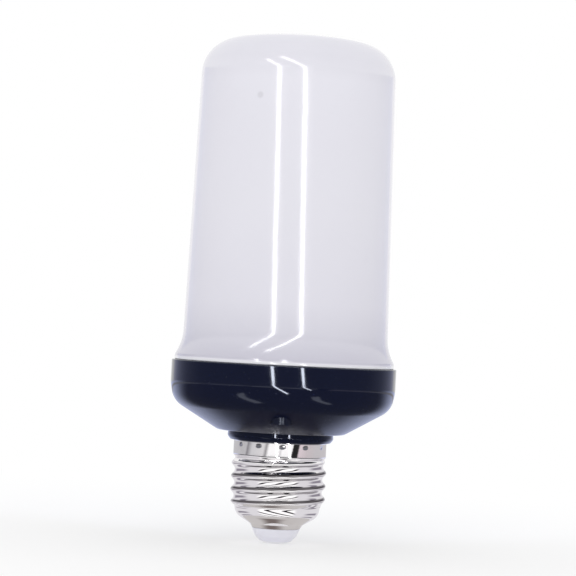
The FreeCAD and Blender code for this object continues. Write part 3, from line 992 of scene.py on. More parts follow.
def rolled_shell() -> Group:
    """A group that rolls the knuckle thread and the stakes into a turned shell.

    Returns:
        The group, with named inputs for its sizes.
    """
    group = Group(
        "rolled_shell",
        {
            "pitch": "number", "start": "number", "height": "number", "crown": "number",
            "foot low": "number", "foot high": "number",
            "band low": "number", "band high": "number", "band radius": "number",
            "stake turn": "number", "stake first": "number", "stake up": "number",
            "stake radius": "number", "stake depth": "number",
        },
    )
    graph, entry = group.graph, group.entry
    where = graph.node("GeometryNodeInputPosition")
    apart = graph.node("ShaderNodeSeparateXYZ", inputs={0: where})
    across, along, up = (apart.output(axis) for axis in "XYZ")

    phase = graph.on_thread((across, along, up), entry.output("start"), entry.output("pitch"))
    swell = (0.5 + 0.5 * graph.maths("COSINE", phase * (2.0 * math.pi))) ** entry.output("crown")
    ridge = swell * entry.output("height")
    ridge = ridge * graph.step(up, entry.output("foot low"), entry.output("foot high"))
    ridge = ridge * (1.0 - graph.step(up, entry.output("band low"), entry.output("band high")))

    stake_turn = entry.output("stake turn")
    lag = (graph.maths("ARCTAN2", along, across) - entry.output("stake first")) / stake_turn
    beside = (lag - graph.maths("ROUND", lag)) * stake_turn * entry.output("band radius")
    above = up - entry.output("stake up")
    reach = (beside * beside + above * above) / entry.output("stake radius") ** 2.0
    dent = graph.maths("MAXIMUM", 1.0 - reach, 0.0) * entry.output("stake depth")

    outward = graph.node(
        "ShaderNodeVectorMath",
        {"operation": "NORMALIZE"},
        {0: graph.node("ShaderNodeCombineXYZ", inputs={"X": across, "Y": along})},
    )
    offset = graph.node(
        "ShaderNodeVectorMath", {"operation": "SCALE"}, {0: outward, "Scale": ridge - dent}
    )
    moved = graph.node(
        "GeometryNodeSetPosition",
        inputs={"Geometry": entry.output("Geometry"), "Offset": offset},
    )
    group.close(moved)
    return group


def dress(piece: bpy.types.Object, finish: Finish) -> None:
    """Give a piece one finish."""
    piece.data.materials.clear()
    piece.data.materials.append(finish.material())


def hand_over(piece: bpy.types.Object, slot: Slot, *nodes: str) -> None:
    """Set a finished piece on the lamp's body.

    Args:
        piece: The piece.
        slot: The record's material slot; not used.
        nodes: The CAD nodes that it stands for.
    """
    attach(piece, "root")
    if nodes:
        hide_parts(*nodes)
    LOG.info("%s: %d faces, for %s", piece.name, len(piece.data.polygons), nodes or "detail")


# The lamp.


@dataclass
class Shade:
    """The milky shade, with its spigot in the bowl and its ledge on the bowl's rim."""

    wall: float = 1.2
    spigot: float = 28.9
    spigot_foot: float = 45.4
    rim: float = 49.4
    ledge: float = 30.3
    ledge_height: float = 1.6
    ledge_edge: float = 0.75
    edge_bend: float = 0.3
    flare: float = 30.1
    foot: float = 28.2
    flare_bend: float = 13.85
    flare_corner: float = 54.24
    straight: float = 4.0
    bend: float = 10.0
    bend_centre: Point = (16.8, 128.418)
    dome: float = 100.0
    top: float = 140.0
    draft: float = 1.14
    crown_turn: float = 79.24

    def outline(self) -> list[Point]:
        """The wall's section, up outside and down inside.

        Returns:
            The section's corners, as radius and height.
        """
        outer = rounded([
            Corner(self.spigot - self.wall, self.spigot_foot),
            Corner(self.spigot, self.spigot_foot, self.edge_bend),
            Corner(self.spigot, self.rim),
            Corner(self.ledge, self.rim, self.edge_bend),
            Corner(self.ledge, self.rim + self.ledge_edge, 0.25),
            Corner(self.flare + 0.02, self.rim + self.ledge_height),
            Corner(self.foot, self.flare_corner, self.flare_bend),
            Corner(self.foot, self.flare_corner + self.straight),
        ], turn_step=2.5)[:-1]
        centre_up = self.top - self.dome
        outer += arc(self.bend_centre, self.bend, self.draft, self.crown_turn, 26)
        outer += arc((0.0, centre_up), self.dome, self.crown_turn, 90.0, 14)[1:-1]
        outer.append((0.0, self.top))
        inner = [(0.0, self.top - self.wall)]
        inner += arc((0.0, centre_up), self.dome - self.wall, 90.0, self.crown_turn, 14)[1:-1]
        inner += arc(self.bend_centre, self.bend - self.wall, self.crown_turn, self.draft, 16)
        inner += [
            (self.foot - self.wall, self.flare_corner + self.straight),
            (self.spigot - self.wall, self.rim + self.wall),
        ]
        return outer + inner

    def build(self) -> None:
        """Make the shade and set it on the lamp."""
        shade = lathe("milky_shade", self.outline(), 256)
        dress(shade, MILKY)
        hand_over(shade, Slot.SHADE, "shade")


@dataclass
class Bowl:
    """The dark bowl with its collar and neck, and the bosses and guides moulded inside it."""

    neck: float = 11.73
    neck_bore: float = 10.4
    neck_foot: float = 11.2
    neck_step: float = 24.1
    neck_head: float = 12.35
    collar_foot_up: float = 28.2
    collar_foot: float = 13.85
    collar_bevel: float = 0.95
    collar_draft: float = 0.07
    collar_top: float = 14.6
    underside: float = 30.7
    cone_foot: float = 17.5
    cone: float = 30.5
    rim: float = 31.0
    rim_up: float = 49.4
    inner_bend: float = 5.2
    lean_up: float = 42.8
    lean: float = 12.0
    lean_bend: float = 11.0
    cone_bend: float = 6.2
    wall: float = 1.8
    boss: float = 2.8
    boss_top: float = 43.4
    boss_circle: float = 23.0
    boss_turn: float = 30.0
    boss_count: int = 3
    boss_sunk: float = 0.3
    pilot: float = 1.3
    pilot_depth: float = 6.2
    guide_in: float = 8.4
    guide_out: float = 10.7
    guide_top: float = 32.4
    guide_edge: float = 0.12
    guides: tuple[tuple[str, float, float], ...] = (
        ("front_guides", -0.4, 0.8), ("back_guides", -3.4, -2.2)
    )

    def cone_up(self, across: float) -> float:
        """The cone's height outside at a distance from the axis."""
        return self.underside + (across - self.cone_foot) * math.tan(math.radians(self.cone))

    def outline(self) -> list[Point]:
        """The moulding's section, up outside and down inside.

        Returns:
            The section's corners, as radius and height.
        """
        slope = math.radians(self.cone)
        lean = math.tan(math.radians(self.lean))
        drop = (self.lean_up - self.cone_up(self.rim)) / (1.0 - lean * math.tan(slope))
        rise = self.wall / math.cos(slope)
        bore = self.rim - self.wall
        floor = self.underside + self.wall
        return rounded([
            Corner(self.neck_bore, self.neck_foot),
            Corner(self.neck, self.neck_foot, 0.3),
            Corner(self.neck, self.neck_step),
            Corner(self.neck_head, self.neck_step),
            Corner(self.neck_head, self.collar_foot_up),
            Corner(self.collar_foot, self.collar_foot_up, 0.3),
            Corner(self.collar_top, self.collar_foot_up + self.collar_bevel, 1.2),
            Corner(self.collar_top - self.collar_draft, self.underside, 0.12),
            Corner(self.cone_foot, self.underside, 1.6),
            Corner(self.rim - drop * lean, self.lean_up - drop, self.cone_bend),
            Corner(self.rim, self.lean_up, self.lean_bend),
            Corner(self.rim, self.rim_up, 0.3),
            Corner(bore, self.rim_up),
            Corner(bore, self.cone_up(bore) + rise, self.inner_bend),
            Corner(self.cone_foot + (self.wall - rise) / math.tan(slope), floor, 1.0),
            Corner(self.neck_bore, floor),
        ], turn_step=3.0)

    def boss_piece(self) -> bpy.types.Object:
        """One boss with its pilot hole, standing on the cone inside the bowl.

        Returns:
            The boss, at its own place.
        """
        foot = self.cone_up(self.boss_circle) - self.boss_sunk
        pilot_foot = self.boss_top - self.pilot_depth
        piece = lathe("bowl_bosses", rounded([
            Corner(0.0, foot),
            Corner(self.boss, foot),
            Corner(self.boss, self.boss_top, 0.25),
            Corner(self.pilot, self.boss_top, 0.15),
            Corner(self.pilot, pilot_foot),
            Corner(0.0, pilot_foot - 0.5),
        ]), 32)
        move_out(piece, self.boss_circle, self.boss_turn)
        return piece

    def build(self, grid: Group) -> None:
        """Make the bowl and what is moulded inside it, and set them on the lamp.

        Args:
            grid: The group that repeats a piece round the axis.
        """
        bowl = lathe("bowl", self.outline(), 256)
        dress(bowl, BOWL_GLOSS)
        hand_over(bowl, Slot.BOWL, "housing")
        bosses = self.boss_piece()
        grid.grow(bosses, BOWL_GLOSS, columns=self.boss_count, rows=1, row_pitch=0.0)
        hand_over(bosses, Slot.BOWL)
        for name, near, far in self.guides:
            guides = block(
                name,
                (self.guide_in, near, self.neck_foot),
                (self.guide_out, far, self.guide_top),
                self.guide_edge,
            )
            self.mirror(guides, Matrix.Diagonal((-1.0, 1.0, 1.0, 1.0)))
            dress(guides, BOWL_GLOSS)
            hand_over(guides, Slot.BOWL)

    @staticmethod
    def mirror(piece: bpy.types.Object, across: Matrix) -> None:
        """Add a piece's mirror image to its mesh, its faces turned the right way round.

        Args:
            piece: The piece.
            across: The mirroring matrix.
        """
        grid = bmesh.new()
        grid.from_mesh(piece.data)
        copied = bmesh.ops.duplicate(grid, geom=grid.verts[:] + grid.edges[:] + grid.faces[:])
        verts = [part for part in copied["geom"] if isinstance(part, bmesh.types.BMVert)]
        faces = [part for part in copied["geom"] if isinstance(part, bmesh.types.BMFace)]
        bmesh.ops.transform(grid, matrix=across, verts=verts)
        bmesh.ops.reverse_faces(grid, faces=faces)
        grid.to_mesh(piece.data)
        grid.free()
        smooth(piece.data)


@dataclass
class ScrewCap:
    """The rolled screw shell, the moulded cone below it and the contact at the tip."""

    sheet: float = 0.3
    lip: float = 6.7
    lip_up: float = 4.3
    hem: float = 7.4
    hem_rise: float = 1.0
    foot: float = 11.7
    foot_angle: float = 31.0
    foot_bend: float = 3.5
    foot_up: float = 10.2
    root: float = 12.13
    band: float = 12.75
    band_up: float = 24.0
    top: float = 28.2
    step: float = 0.6
    pitch: float = 3.629
    crest: float = 13.1
    thread_start: float = 9.9
    crown: float = 1.35
    thread_foot: Point = (9.3, 11.7)
    thread_head: Point = (22.3, 23.9)
    fine_step: float = 0.17
    fine_from: float = 8.4
    stake_count: int = 12
    stake_first: float = 273.0
    stake_radius: float = 0.42
    stake_depth: float = 0.08
    stake_drop: float = 1.1
    flange: float = 9.5
    seat: float = 7.1
    seat_gap: float = 0.28
    flange_top: float = 8.6
    nose: float = 6.6
    rivet: float = 1.6
    disc: float = 3.95
    disc_top: float = 1.1

    def shell_outline(self) -> list[Point]:
        """The plain shell's section, up outside and down inside, before the thread.

        Returns:
            The section's corners, as radius and height.
        """
        hem_up = self.lip_up + self.hem_rise
        slope = math.radians(self.foot_angle)
        corner_up = hem_up + (self.foot - self.hem) * math.tan(slope)
        rise = self.sheet / math.cos(slope) - self.sheet * math.tan(slope)
        inset = self.sheet
        points = rounded([
            Corner(self.lip - inset, self.lip_up, 0.1),
            Corner(self.lip, self.lip_up, 0.1),
            Corner(self.hem, hem_up, 0.8),
            Corner(self.foot, corner_up, self.foot_bend),
            Corner(self.foot, self.foot_up, 1.5),
            Corner(self.root, self.foot_up + self.step, 1.5),
            Corner(self.root, self.band_up - self.step, 0.8),
            Corner(self.band, self.band_up, 0.5),
            Corner(self.band, self.top, 0.12),
            Corner(self.band - inset, self.top, 0.12),
            Corner(self.band - inset, self.band_up, 0.8),
            Corner(self.root - inset, self.band_up - self.step, 0.5),
            Corner(self.root - inset, self.foot_up + self.step, 1.2),
            Corner(self.foot - inset, self.foot_up, 1.2),
            Corner(self.foot - inset, corner_up + rise, self.foot_bend - inset),
            Corner(self.hem - inset, hem_up + rise, 0.5),
        ], turn_step=5.0)
        return close_set(points, self.fine_step, self.fine_from, self.top)

    def build_shell(self, rolled: Group) -> None:
        """Roll the thread and the stakes into the shell.

        Args:
            rolled: The group that rolls them.
        """
        shell = lathe("screw_cap", self.shell_outline(), 240)
        foot, head = self.thread_foot, self.thread_head
        rolled.grow(
            shell, SHELL_PLATE,
            pitch=self.pitch * MM, start=self.thread_start * MM,
            height=(self.crest - self.root) * MM, crown=self.crown,
            foot_low=foot[0] * MM, foot_high=foot[1] * MM,
            band_low=head[0] * MM, band_high=head[1] * MM,
            band_radius=self.band * MM,
            stake_turn=2.0 * math.pi / self.stake_count,
            stake_first=math.radians(self.stake_first),
            stake_up=(self.top - self.stake_drop) * MM,
            stake_radius=self.stake_radius * MM, stake_depth=self.stake_depth * MM,
        )
        smooth(shell.data, 50.0)
        hand_over(shell, Slot.SHELL, "screw_shell")

    def build_insulator(self) -> None:
        """Make the moulded cone that shows between the shell and the contact."""
        seat_up = self.lip_up + self.hem_rise + self.seat_gap
        slope = math.tan(math.radians(self.foot_angle))
        cone = lathe("tip_insulator", rounded([
            Corner(self.rivet, self.disc_top),
            Corner(self.disc, self.disc_top),
            Corner(self.disc, 0.66, 0.05),
            Corner(4.3, 0.68, 0.25),
            Corner(5.6, 1.95, 2.2),
            Corner(self.nose, 4.0, 0.2),
            Corner(self.nose, 4.2),
            Corner(6.3, 4.2),
            Corner(6.3, seat_up),
            Corner(self.seat, seat_up),
            Corner(self.flange, seat_up + (self.flange - self.seat) * slope),
            Corner(self.flange, self.flange_top, 0.3),
            Corner(self.rivet, self.flange_top),
        ]), 160)
        dress(cone, TIP_MOULDING)
        hand_over(cone, Slot.INSULATOR, "insulator")

    def build_contact(self) -> None:
        """Make the contact's domed disc and its rivet."""
        disc = lathe("tip_contact", [
            (0.0, 0.0), (1.6, 0.02), (2.5, 0.10), (3.1, 0.24), (3.6, 0.45), (3.85, 0.64),
            (3.9, 0.8), (3.9, 1.1), (1.5, 1.1), (1.5, 8.3), (2.1, 8.55), (2.2, 8.7),
            (1.9, 8.85), (1.2, 8.9), (0.0, 8.9),
        ], 128)
        dress(disc, CONTACT_PLATE)
        hand_over(disc, Slot.CONTACT, "centre_contact")

    def build(self, rolled: Group) -> None:
        """Make the cap's three pieces.

        Args:
            rolled: The group that rolls the thread and stakes.
        """
        self.build_shell(rolled)
        self.build_insulator()
        self.build_contact()


@dataclass
class LightCore:
    """The tube inside the shade, its screws, and the lights on the sheet that wraps it."""

    sheet_radius: float = 18.5
    light_width: float = 3.5
    light_height: float = 2.8
    light_depth: float = 0.8
    frame_edge: float = 0.08
    window_proud: float = 0.12
    window_depth: float = 0.3
    window_side: float = 0.45
    window_end: float = 0.4
    window_edge: float = 0.1
    first_up: float = 52.6
    row_pitch: float = 6.9
    rows: int = 11
    columns: int = 9
    screw_circle: float = 23.0
    screw_turn: float = 30.0
    screw_count: int = 3
    flange_top: float = 45.4
    head: float = 2.3
    head_height: float = 1.5
    shank: float = 1.2
    shank_foot: float = 39.9
    point: float = 0.7
    point_height: float = 0.9
    recess: Point = (2.3, 0.55)
    recess_depth: float = 0.8

    def build_lights(self, grid: Group) -> None:
        """Make the lights' moulded frames and their resin windows.

        Args:
            grid: The group that repeats a piece round the axis.
        """
        side = self.light_width / 2
        inside, outside = self.sheet_radius, self.sheet_radius + self.light_depth
        top = self.first_up + self.light_height
        frames = block(
            "light_frames",
            (inside, -side, self.first_up),
            (outside - self.window_proud, side, top),
            self.frame_edge,
        )
        side -= self.window_side
        windows = block(
            "light_windows",
            (outside - self.window_depth, -side, self.first_up + self.window_end),
            (outside, side, top - self.window_end),
            self.window_edge,
        )
        for piece, finish in ((frames, PACKAGE_MOULDING), (windows, WINDOW_RESIN)):
            grid.grow(
                piece, finish, columns=self.columns, rows=self.rows, row_pitch=self.row_pitch * MM
            )
        hand_over(frames, Slot.CORE, "side_lights")
        hand_over(windows, Slot.LIGHT)

    def build_screws(self, grid: Group) -> None:
        """Make the screws that hold the core down, with domed heads and cross recesses.

        Args:
            grid: The group that repeats a piece round the axis.
        """
        crown = self.flange_top + self.head_height
        screw = lathe("core_fasteners", rounded([
            Corner(0.0, self.shank_foot),
            Corner(self.point, self.shank_foot),
            Corner(self.shank, self.shank_foot + self.point_height),
            Corner(self.shank, self.flange_top),
            Corner(self.head, self.flange_top),
            Corner(self.head, self.flange_top + self.head_height / 2, 0.3),
            Corner(1.7, crown - 0.12, 0.8),
            Corner(0.0, crown),
        ]), 48)
        for number, (length, width) in enumerate((self.recess, self.recess[::-1])):
            cutter = block(
                f"recess_cutter_{number}",
                (-length / 2, -width / 2, crown - self.recess_depth),
                (length / 2, width / 2, crown + 0.5),
                0.05,
            )
            cut = screw.modifiers.new("recess", "BOOLEAN")
            cut.operation, cut.object, cut.solver = "DIFFERENCE", cutter, "EXACT"
            keep_made(screw)
            bpy.data.objects.remove(cutter)
        move_out(screw, self.screw_circle, self.screw_turn)
        grid.grow(screw, SCREW_PLATE, columns=self.screw_count, rows=1, row_pitch=0.0)
        hand_over(screw, Slot.SCREW, "core_screws")

    def build(self, grid: Group) -> None:
        """Make the lights and screws, and finish the tube and the sheet.

        Args:
            grid: The group that repeats a piece round the axis.
        """
        self.build_lights(grid)
        self.build_screws(grid)
        finish_nodes({"core_tube": CORE_MOULDING, "light_sheet": WHITE_MASK})


@dataclass
class Driver:
    """The board in the neck and bowl and the parts soldered to it, which keep their CAD solids."""

    sleeve: Colour = (0.03, 0.03, 0.035)
    stripe: Colour = (0.55, 0.56, 0.55)
    stripe_aside: float = 2.6

    def build(self) -> None:
        """Finish the board, its parts and its leads."""
        for node in ("mains_capacitor", "supply_capacitor"):
            low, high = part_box(node)
            edge = (low.x + high.x) / 2 / MM + self.stripe_aside
            finish_nodes({
                node: Sleeve(f"{node}_sleeve", self.sleeve, self.stripe, edge, high.z / MM)
            })
        finish_nodes({
            "driver_board": GREEN_MASK,
            "fuse_resistor": RESISTOR_COAT,
            "bridge_rectifier": CHIP_RESIN,
            "driver_chip": CHIP_RESIN,
            "freewheel_diode": CHIP_RESIN,
            "microcontroller": CHIP_RESIN,
            "inductor_core": FERRITE,
            "inductor_winding": WINDING,
            "live_lead": LEAD_RED,
            "neutral_lead": LEAD_BLACK,
            "positive_lead": LEAD_RED,
            "negative_lead": LEAD_BLACK,
        })


def finish_nodes(finishes: dict[str, Finish]) -> None:
    """Give CAD nodes their finishes, their meshes untouched.

    Args:
        finishes: The finish of each node, by the node's name.
    """
    for name, finish in finishes.items():
        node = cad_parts[name]
        if not node.material_slots:
            node.data.materials.append(None)
        for held in node.material_slots:
            held.material = finish.material()
        LOG.info("%s: finished with %s", name, finish.name)


# The studio.


@dataclass
class Studio:
    """The pale floor, the white surroundings, the sheets and strips, the key and the camera.

    A sheet or strip is shown to reflections alone. A pair of numbers for a step holds where it
    starts and where it ends.
    """

    fill: float = 1.0
    floor_radius: float = 1000.0
    floor_white: Point = (0.45, 0.55)
    floor_fade: Point = (60.0, 260.0)
    paper: tuple[Colour, Colour] = ((0.90, 0.90, 0.90), (0.93, 0.93, 0.93))
    key_side: float = 1200.0
    key_watts: float = 5.0
    key_place: Place = (-300.0, -1600.0, 1500.0)
    key_aim: Place = (0.0, 0.0, 70.0)
    strip_glow: float = 24.0
    strip_width: float = 40.0
    strips: tuple[tuple[Place, Place], ...] = (
        ((-910.0, -1000.0, 930.0), (-160.0, -1000.0, 0.0)),
        ((-455.0, -1000.0, 1020.0), (379.0, -1000.0, 0.0)),
    )
    table_strips: tuple[tuple[Place, Place], ...] = (
        ((-158.0, -986.0, 1.0), (11.0, -136.0, 1.0)),
        ((374.0, -986.0, 1.0), (150.0, -290.0, 1.0)),
    )
    faint_glow: float = 1.6
    faint_width: float = 160.0
    faint_strips: tuple[tuple[Place, Place], ...] = (
        ((-80.0, -96.0, 1.0), (-21.0, -54.0, 1.0)),
        ((62.0, -106.0, 1.0), (53.0, -52.0, 1.0)),
    )
    flag_radius: float = 1300.0
    flag_turn: float = 150.0
    flag_tones: tuple[tuple[float, Colour], ...] = (
        (0.0, (0.15, 0.155, 0.18)), (0.62, (0.15, 0.155, 0.18)), (0.78, (0.26, 0.27, 0.34)),
        (0.92, (0.48, 0.50, 0.66)), (1.0, (0.76, 0.77, 0.93)),
    )
    flag_foot: float = -600.0
    flag_top: float = 330.0
    table_hole: float = 5.5
    table_up: float = 0.5
    far_from: Point = (640.0, 700.0)
    back_from: Point = (108.0, 140.0)
    under_within: Point = (15.0, 14.6)
    spot_turn: float = -14.0
    spot_across: Point = (52.0, 6.0)
    spot_within: Point = (11.5, 9.5)
    patch_ring: tuple[Point, Point] = ((425.0, 440.0), (610.0, 590.0))
    patch_middle: float = 480.0
    patch_slant: float = 0.05
    table_under: Colour = (0.62, 0.60, 0.59)
    table_spot: Colour = (0.20, 0.17, 0.16)
    table_front: Colour = (0.12, 0.12, 0.13)
    table_far: Colour = (0.20, 0.20, 0.21)
    table_back: Colour = (0.85, 0.92, 1.25)
    card_radius: float = 14.8
    card_gap: float = 0.3
    card_foot: float = 0.6
    card_top: float = 23.8
    streak_slant: float = 9.0
    streak_pitch: float = 30.0
    streak_span: tuple[Point, Point] = ((0.0, 0.06), (0.40, 0.30))
    streaks_within: Point = (36.0, 26.0)
    side_span: tuple[Point, Point] = ((48.0, 66.0), (104.0, 88.0))
    card_pale: Colour = (0.82, 0.81, 0.84)
    card_white: Colour = (1.25, 1.25, 1.25)
    card_grey: Colour = (0.30, 0.28, 0.33)
    card_dark: Colour = (0.03, 0.025, 0.03)
    card_back: Colour = (0.085, 0.075, 0.082)
    patch_tones: tuple[tuple[float, Colour], ...] = (
        (0.0, (0.60, 0.60, 0.62)), (0.03, (0.60, 0.60, 0.62)), (0.06, (0.28, 0.27, 0.29)),
        (0.13, (0.70, 0.70, 0.72)), (0.29, (0.80, 0.79, 0.80)), (0.325, (0.34, 0.33, 0.34)),
        (0.36, (1.15, 1.15, 1.15)), (0.48, (1.15, 1.15, 1.15)), (0.51, (0.80, 0.80, 0.82)),
        (0.53, (1.15, 1.15, 1.15)), (0.645, (1.15, 1.15, 1.15)), (0.652, (0.02, 0.02, 0.02)),
        (0.722, (0.02, 0.02, 0.02)), (0.740, (0.80, 0.70, 0.74)), (0.85, (0.66, 0.60, 0.62)),
        (1.0, (0.62, 0.60, 0.62)),
    )
    sensor: float = 36.0
    clip: Point = (10.0, 20000.0)
    distance: float = 660.0
    eye: float = 60.0
    aim: float = 70.4
    roll: float = 2.9
    frame_height: float = 159.0

    @staticmethod
    def shining(
        name: str, paint: Callable[[Graph], Feed], strength: float = 1.0
    ) -> bpy.types.Material:
        """A material that only shines.

        Args:
            name: The material's name.
            paint: What adds its colour to its graph.
            strength: How brightly it shines.

        Returns:
            The material.
        """
        made = bpy.data.materials.new(name)
        graph = Graph.of(made)
        shine = graph.node(
            "ShaderNodeEmission", inputs={"Color": paint(graph), "Strength": strength}
        )
        graph.node("ShaderNodeOutputMaterial", inputs={"Surface": shine})
        return made

    def set_up(self, piece: bpy.types.Object, material: bpy.types.Material, seen: SeenBy) -> None:
        """Give a piece of the studio its material and say which rays it is shown to.

        Args:
            piece: The piece, still without a material.
            material: Its material.
            seen: The rays that it is shown to.
        """
        piece.data.materials.append(material)
        if seen is SeenBy.REFLECTIONS:
            piece.visible_camera = False
            piece.visible_diffuse = False
            piece.visible_shadow = False
            piece.visible_transmission = False
        LOG.info("studio: %s", piece.name)

    @staticmethod
    def background_rays(graph: Graph) -> Value:
        """1 for the rays that show the background: camera, glossy and transmission rays.

        Args:
            graph: The tree of a material or of the world.

        Returns:
            1 for those rays and 0 for others.
        """
        paths = graph.node("ShaderNodeLightPath")
        seen = graph.maths("MAXIMUM", paths.output("Is Camera Ray"), paths.output("Is Glossy Ray"))
        return graph.maths("MAXIMUM", seen, paths.output("Is Transmission Ray"))

    def floor(self) -> None:
        """A pale disc that keeps the lamp's shadow and fades into the white surroundings."""
        grid = bmesh.new()
        bmesh.ops.create_circle(grid, cap_ends=True, segments=96, radius=self.floor_radius * MM)
        mesh = bpy.data.meshes.new("floor")
        grid.to_mesh(mesh)
        grid.free()
        material = bpy.data.materials.new("floor_paper")
        graph = Graph.of(material)
        _, away = self.round_front(graph)
        paper = graph.node("ShaderNodeBsdfPrincipled", inputs={
            "Base Color": graph.blend(graph.noise(900.0), *self.paper),
            "Roughness": 0.8,
            "Specular IOR Level": 0.2,
        })
        white = graph.node("ShaderNodeEmission", inputs={"Strength": 1.0})
        near, added = self.floor_white
        lit = self.background_rays(graph) * (near + added * graph.step(away, *self.floor_fade))
        shown = graph.node("ShaderNodeMixShader", inputs={0: lit, 1: paper, 2: white})
        graph.node("ShaderNodeOutputMaterial", inputs={"Surface": shown})
        self.set_up(new_piece("floor", mesh), material, SeenBy.ALL)

    def world(self) -> None:
        """Even fill light; white to the camera and in reflections."""
        world = bpy.data.worlds.new("surroundings")
        graph = Graph.of(world)
        fill, white = (
            graph.node("ShaderNodeBackground", inputs={"Color": WHITE, "Strength": strength})
            for strength in (self.fill, 1.0)
        )
        shown = graph.node(
            "ShaderNodeMixShader", inputs={0: self.background_rays(graph), 1: fill, 2: white}
        )
        graph.node("ShaderNodeOutputWorld", inputs={"Surface": shown})
        bpy.context.scene.world = world

    def strip(
        self,
        name: str,
        ends: tuple[Place, Place],
        facing: Place,
        material: bpy.types.Material,
        width: float,
    ) -> None:
        """A long thin light whose width goes by how far its ends are from the lamp.

        Args:
            name: The strip's name.
            ends: Its far end and its near end.
            facing: The way that it faces.
            material: What it shines with.
            width: Its width a metre in front of the lamp.
        """
        far, near = (Vector(end) * MM for end in ends)
        across = (near - far).normalized().cross(Vector(facing)) * width / 2 * MM
        wide, narrow = across * abs(far.y), across * abs(near.y)
        corners = [far - wide, far + wide, near + narrow, near - narrow]
        mesh = bpy.data.meshes.new(name)
        mesh.from_pydata([tuple(corner) for corner in corners], [], [(0, 1, 2, 3)])
        self.set_up(new_piece(name, mesh), material, SeenBy.REFLECTIONS)

    def sheet(
        self,
        name: str,
        rings: tuple[Point, Point],
        material: bpy.types.Material,
        most: float = 180.0,
        steps: int = 96,
    ) -> None:
        """Hang a sheet swept round the lamp's axis.

        Args:
            name: The sheet's name.
            rings: The radius and height of each of its two edges.
            material: What it shines with.
            most: How far it reaches to each side of the front.
            steps: How many faces go round.
        """
        vertices, faces = [], []
        for step in range(steps + 1):
            turn = math.radians(-most + 2 * most * step / steps)
            for radius, up in rings:
                across, along = radius * math.sin(turn), -radius * math.cos(turn)
                vertices.append((across * MM, along * MM, up * MM))
        for step in range(steps):
            first = 2 * step
            faces.append((first, first + 2, first + 3, first + 1))
        mesh = bpy.data.meshes.new(name)
        mesh.from_pydata(vertices, [], faces)
        self.set_up(new_piece(name, mesh), material, SeenBy.REFLECTIONS)

    @staticmethod
    def round_front(graph: Graph) -> tuple[Value, Value]:
        """The turn from the front in degrees and the distance from the axis in millimetres.

        Args:
            graph: The material's tree.

        Returns:
            The turn and the distance.
        """
        across, along, _ = graph.place()
        turn = graph.maths("ARCTAN2", across, 0.0 - along) * (180.0 / math.pi)
        away = graph.maths("SQRT", across * across + along * along)
        return turn, away

    def flag_paint(self, graph: Graph) -> Value:
        """Dark behind the camera and paler to the sides.

        Args:
            graph: The material's tree.

        Returns:
            The colour that the sheet shines with.
        """
        turn, _ = self.round_front(graph)
        place = graph.maths("ABSOLUTE", turn) / self.flag_turn
        return graph.node("ShaderNodeValToRGB", {"stops": self.flag_tones}, {0: place})

    def flag(self) -> None:
        """A flag round the front."""
        rings = ((self.flag_radius, self.flag_foot), (self.flag_radius, self.flag_top))
        material = self.shining("flag_cloth", self.flag_paint)
        self.sheet("dark_flag", rings, material, self.flag_turn)

    def table_paint(self, graph: Graph) -> Value:
        """Grey in front, bluish behind, with a ring of pale and dark patches.

        Args:
            graph: The material's tree.

        Returns:
            The colour that the sheet shines with.
        """
        turn, away = self.round_front(graph)
        front = graph.blend(graph.step(away, *self.far_from), self.table_front, self.table_far)
        behind = graph.step(graph.maths("ABSOLUTE", turn), *self.back_from)
        plain = graph.blend(behind, front, self.table_back)
        plain = graph.blend(graph.step(away, *self.under_within), plain, self.table_under)
        aside = graph.maths("ABSOLUTE", turn - self.spot_turn)
        spot = graph.step(aside, *self.spot_across) * graph.step(away, *self.spot_within)
        plain = graph.blend(spot, plain, self.table_spot)
        slanted = turn - self.patch_slant * (away - self.patch_middle)
        patch = graph.node(
            "ShaderNodeValToRGB", {"stops": self.patch_tones}, {0: slanted / 200.0 + 0.5}
        )
        return graph.blend(graph.window(away, *self.patch_ring), plain, patch)

    def table(self) -> None:
        """What the table shows in reflections."""
        rings = ((self.table_hole, self.table_up), (self.floor_radius, self.table_up))
        self.sheet("table_cards", rings, self.shining("table_cards", self.table_paint))

    def cap_paint(self, graph: Graph) -> Value:
        """Pale with grey sides between the crests, and slanting streaks in front.

        Args:
            graph: The material's tree.

        Returns:
            The colour that the sheet shines with.
        """
        turn, _ = self.round_front(graph)
        up = graph.place()[2]
        aside = graph.maths("ABSOLUTE", turn)
        phase = (up - ScrewCap.thread_start) / ScrewCap.pitch - 0.5 - turn / 720.0
        off_crest = graph.maths("ABSOLUTE", phase - graph.maths("ROUND", phase))
        off_streak = graph.maths("FRACT", (turn + self.streak_slant * up) / self.streak_pitch)
        streak = graph.window(off_streak, *self.streak_span)
        centre = graph.blend(streak, self.card_white, self.card_dark)
        sides = graph.window(aside, *self.side_span) * graph.step(off_crest, 0.2, 0.36)
        plain = graph.blend(sides, self.card_pale, self.card_grey)
        return graph.blend(graph.step(aside, *self.streaks_within), plain, centre)

    def cap_cards(self) -> None:
        """What the threads show in reflections: a card round the cap, dark on its back."""
        front = self.shining("cap_card", self.cap_paint)
        back = self.shining("cap_card_back", lambda _: (*self.card_back, 1.0))
        for name, radius, material in (
            ("cap_card", self.card_radius, front),
            ("cap_card_back", self.card_radius + self.card_gap, back),
        ):
            self.sheet(name, ((radius, self.card_foot), (radius, self.card_top)), material)

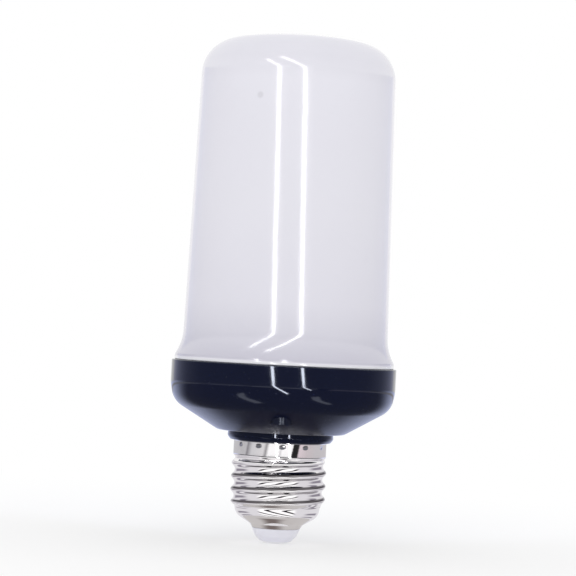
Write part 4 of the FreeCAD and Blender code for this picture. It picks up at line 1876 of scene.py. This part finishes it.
    def key(self) -> None:
        """A broad soft light above and to the left of the camera."""
        data = bpy.data.lights.new("soft_key", "AREA")
        data.shape, data.size = "SQUARE", self.key_side * MM
        data.energy = self.key_watts
        light = bpy.data.objects.new("soft_key", data)
        light.location = Vector(self.key_place) * MM
        aim = Vector(self.key_aim) * MM - light.location
        light.rotation_euler = aim.to_track_quat("-Z", "Y").to_euler()
        light.visible_glossy = False
        bpy.context.scene.collection.objects.link(light)

    def camera(self) -> None:
        """The camera at the eye's level, rolled so that the lamp leans to the right."""
        data = bpy.data.cameras.new("view")
        data.sensor_width = self.sensor
        data.lens = self.sensor * self.distance / self.frame_height
        data.clip_start, data.clip_end = (length * MM for length in self.clip)
        camera = bpy.data.objects.new("view", data)
        place = Vector((0.0, -self.distance, self.eye)) * MM
        ahead = (Vector((0.0, 0.0, self.aim)) * MM - place).normalized()
        right = ahead.cross(Vector((0.0, 0.0, 1.0))).normalized()
        up = right.cross(ahead)
        roll = math.radians(self.roll)
        side = right * math.cos(roll) + up * math.sin(roll)
        head = up * math.cos(roll) - right * math.sin(roll)
        turned = Matrix((side, head, -ahead)).transposed().to_4x4()
        camera.matrix_world = Matrix.Translation(place) @ turned
        bpy.context.scene.collection.objects.link(camera)
        bpy.context.scene.camera = camera

    def build(self) -> None:
        """Set the studio up."""
        bpy.context.scene.view_settings.view_transform = "Standard"
        self.floor()
        self.world()
        self.flag()
        self.table()
        self.cap_cards()
        shine = self.shining("strip_shine", lambda _: WHITE, self.strip_glow)
        faint = self.shining("faint_shine", lambda _: WHITE, self.faint_glow)
        forward, upward = (0.0, 1.0, 0.0), (0.0, 0.0, 1.0)
        for kind, strips, facing, material, width in (
            ("strip", self.strips, forward, shine, self.strip_width),
            ("table_strip", self.table_strips, upward, shine, self.strip_width),
            ("faint_strip", self.faint_strips, upward, faint, self.faint_width),
        ):
            for number, ends in enumerate(strips):
                self.strip(f"{kind}_{number}", ends, facing, material, width)
        self.key()
        self.camera()


def main() -> None:
    """Build the studio and the lamp."""
    logging.basicConfig(level=logging.INFO, format="%(message)s")
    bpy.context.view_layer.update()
    Studio().build()
    grid = round_grid()
    Shade().build()
    Bowl().build(grid)
    ScrewCap().build(rolled_shell())
    LightCore().build(grid)
    Driver().build()


if __name__ == "__main__":
    main()
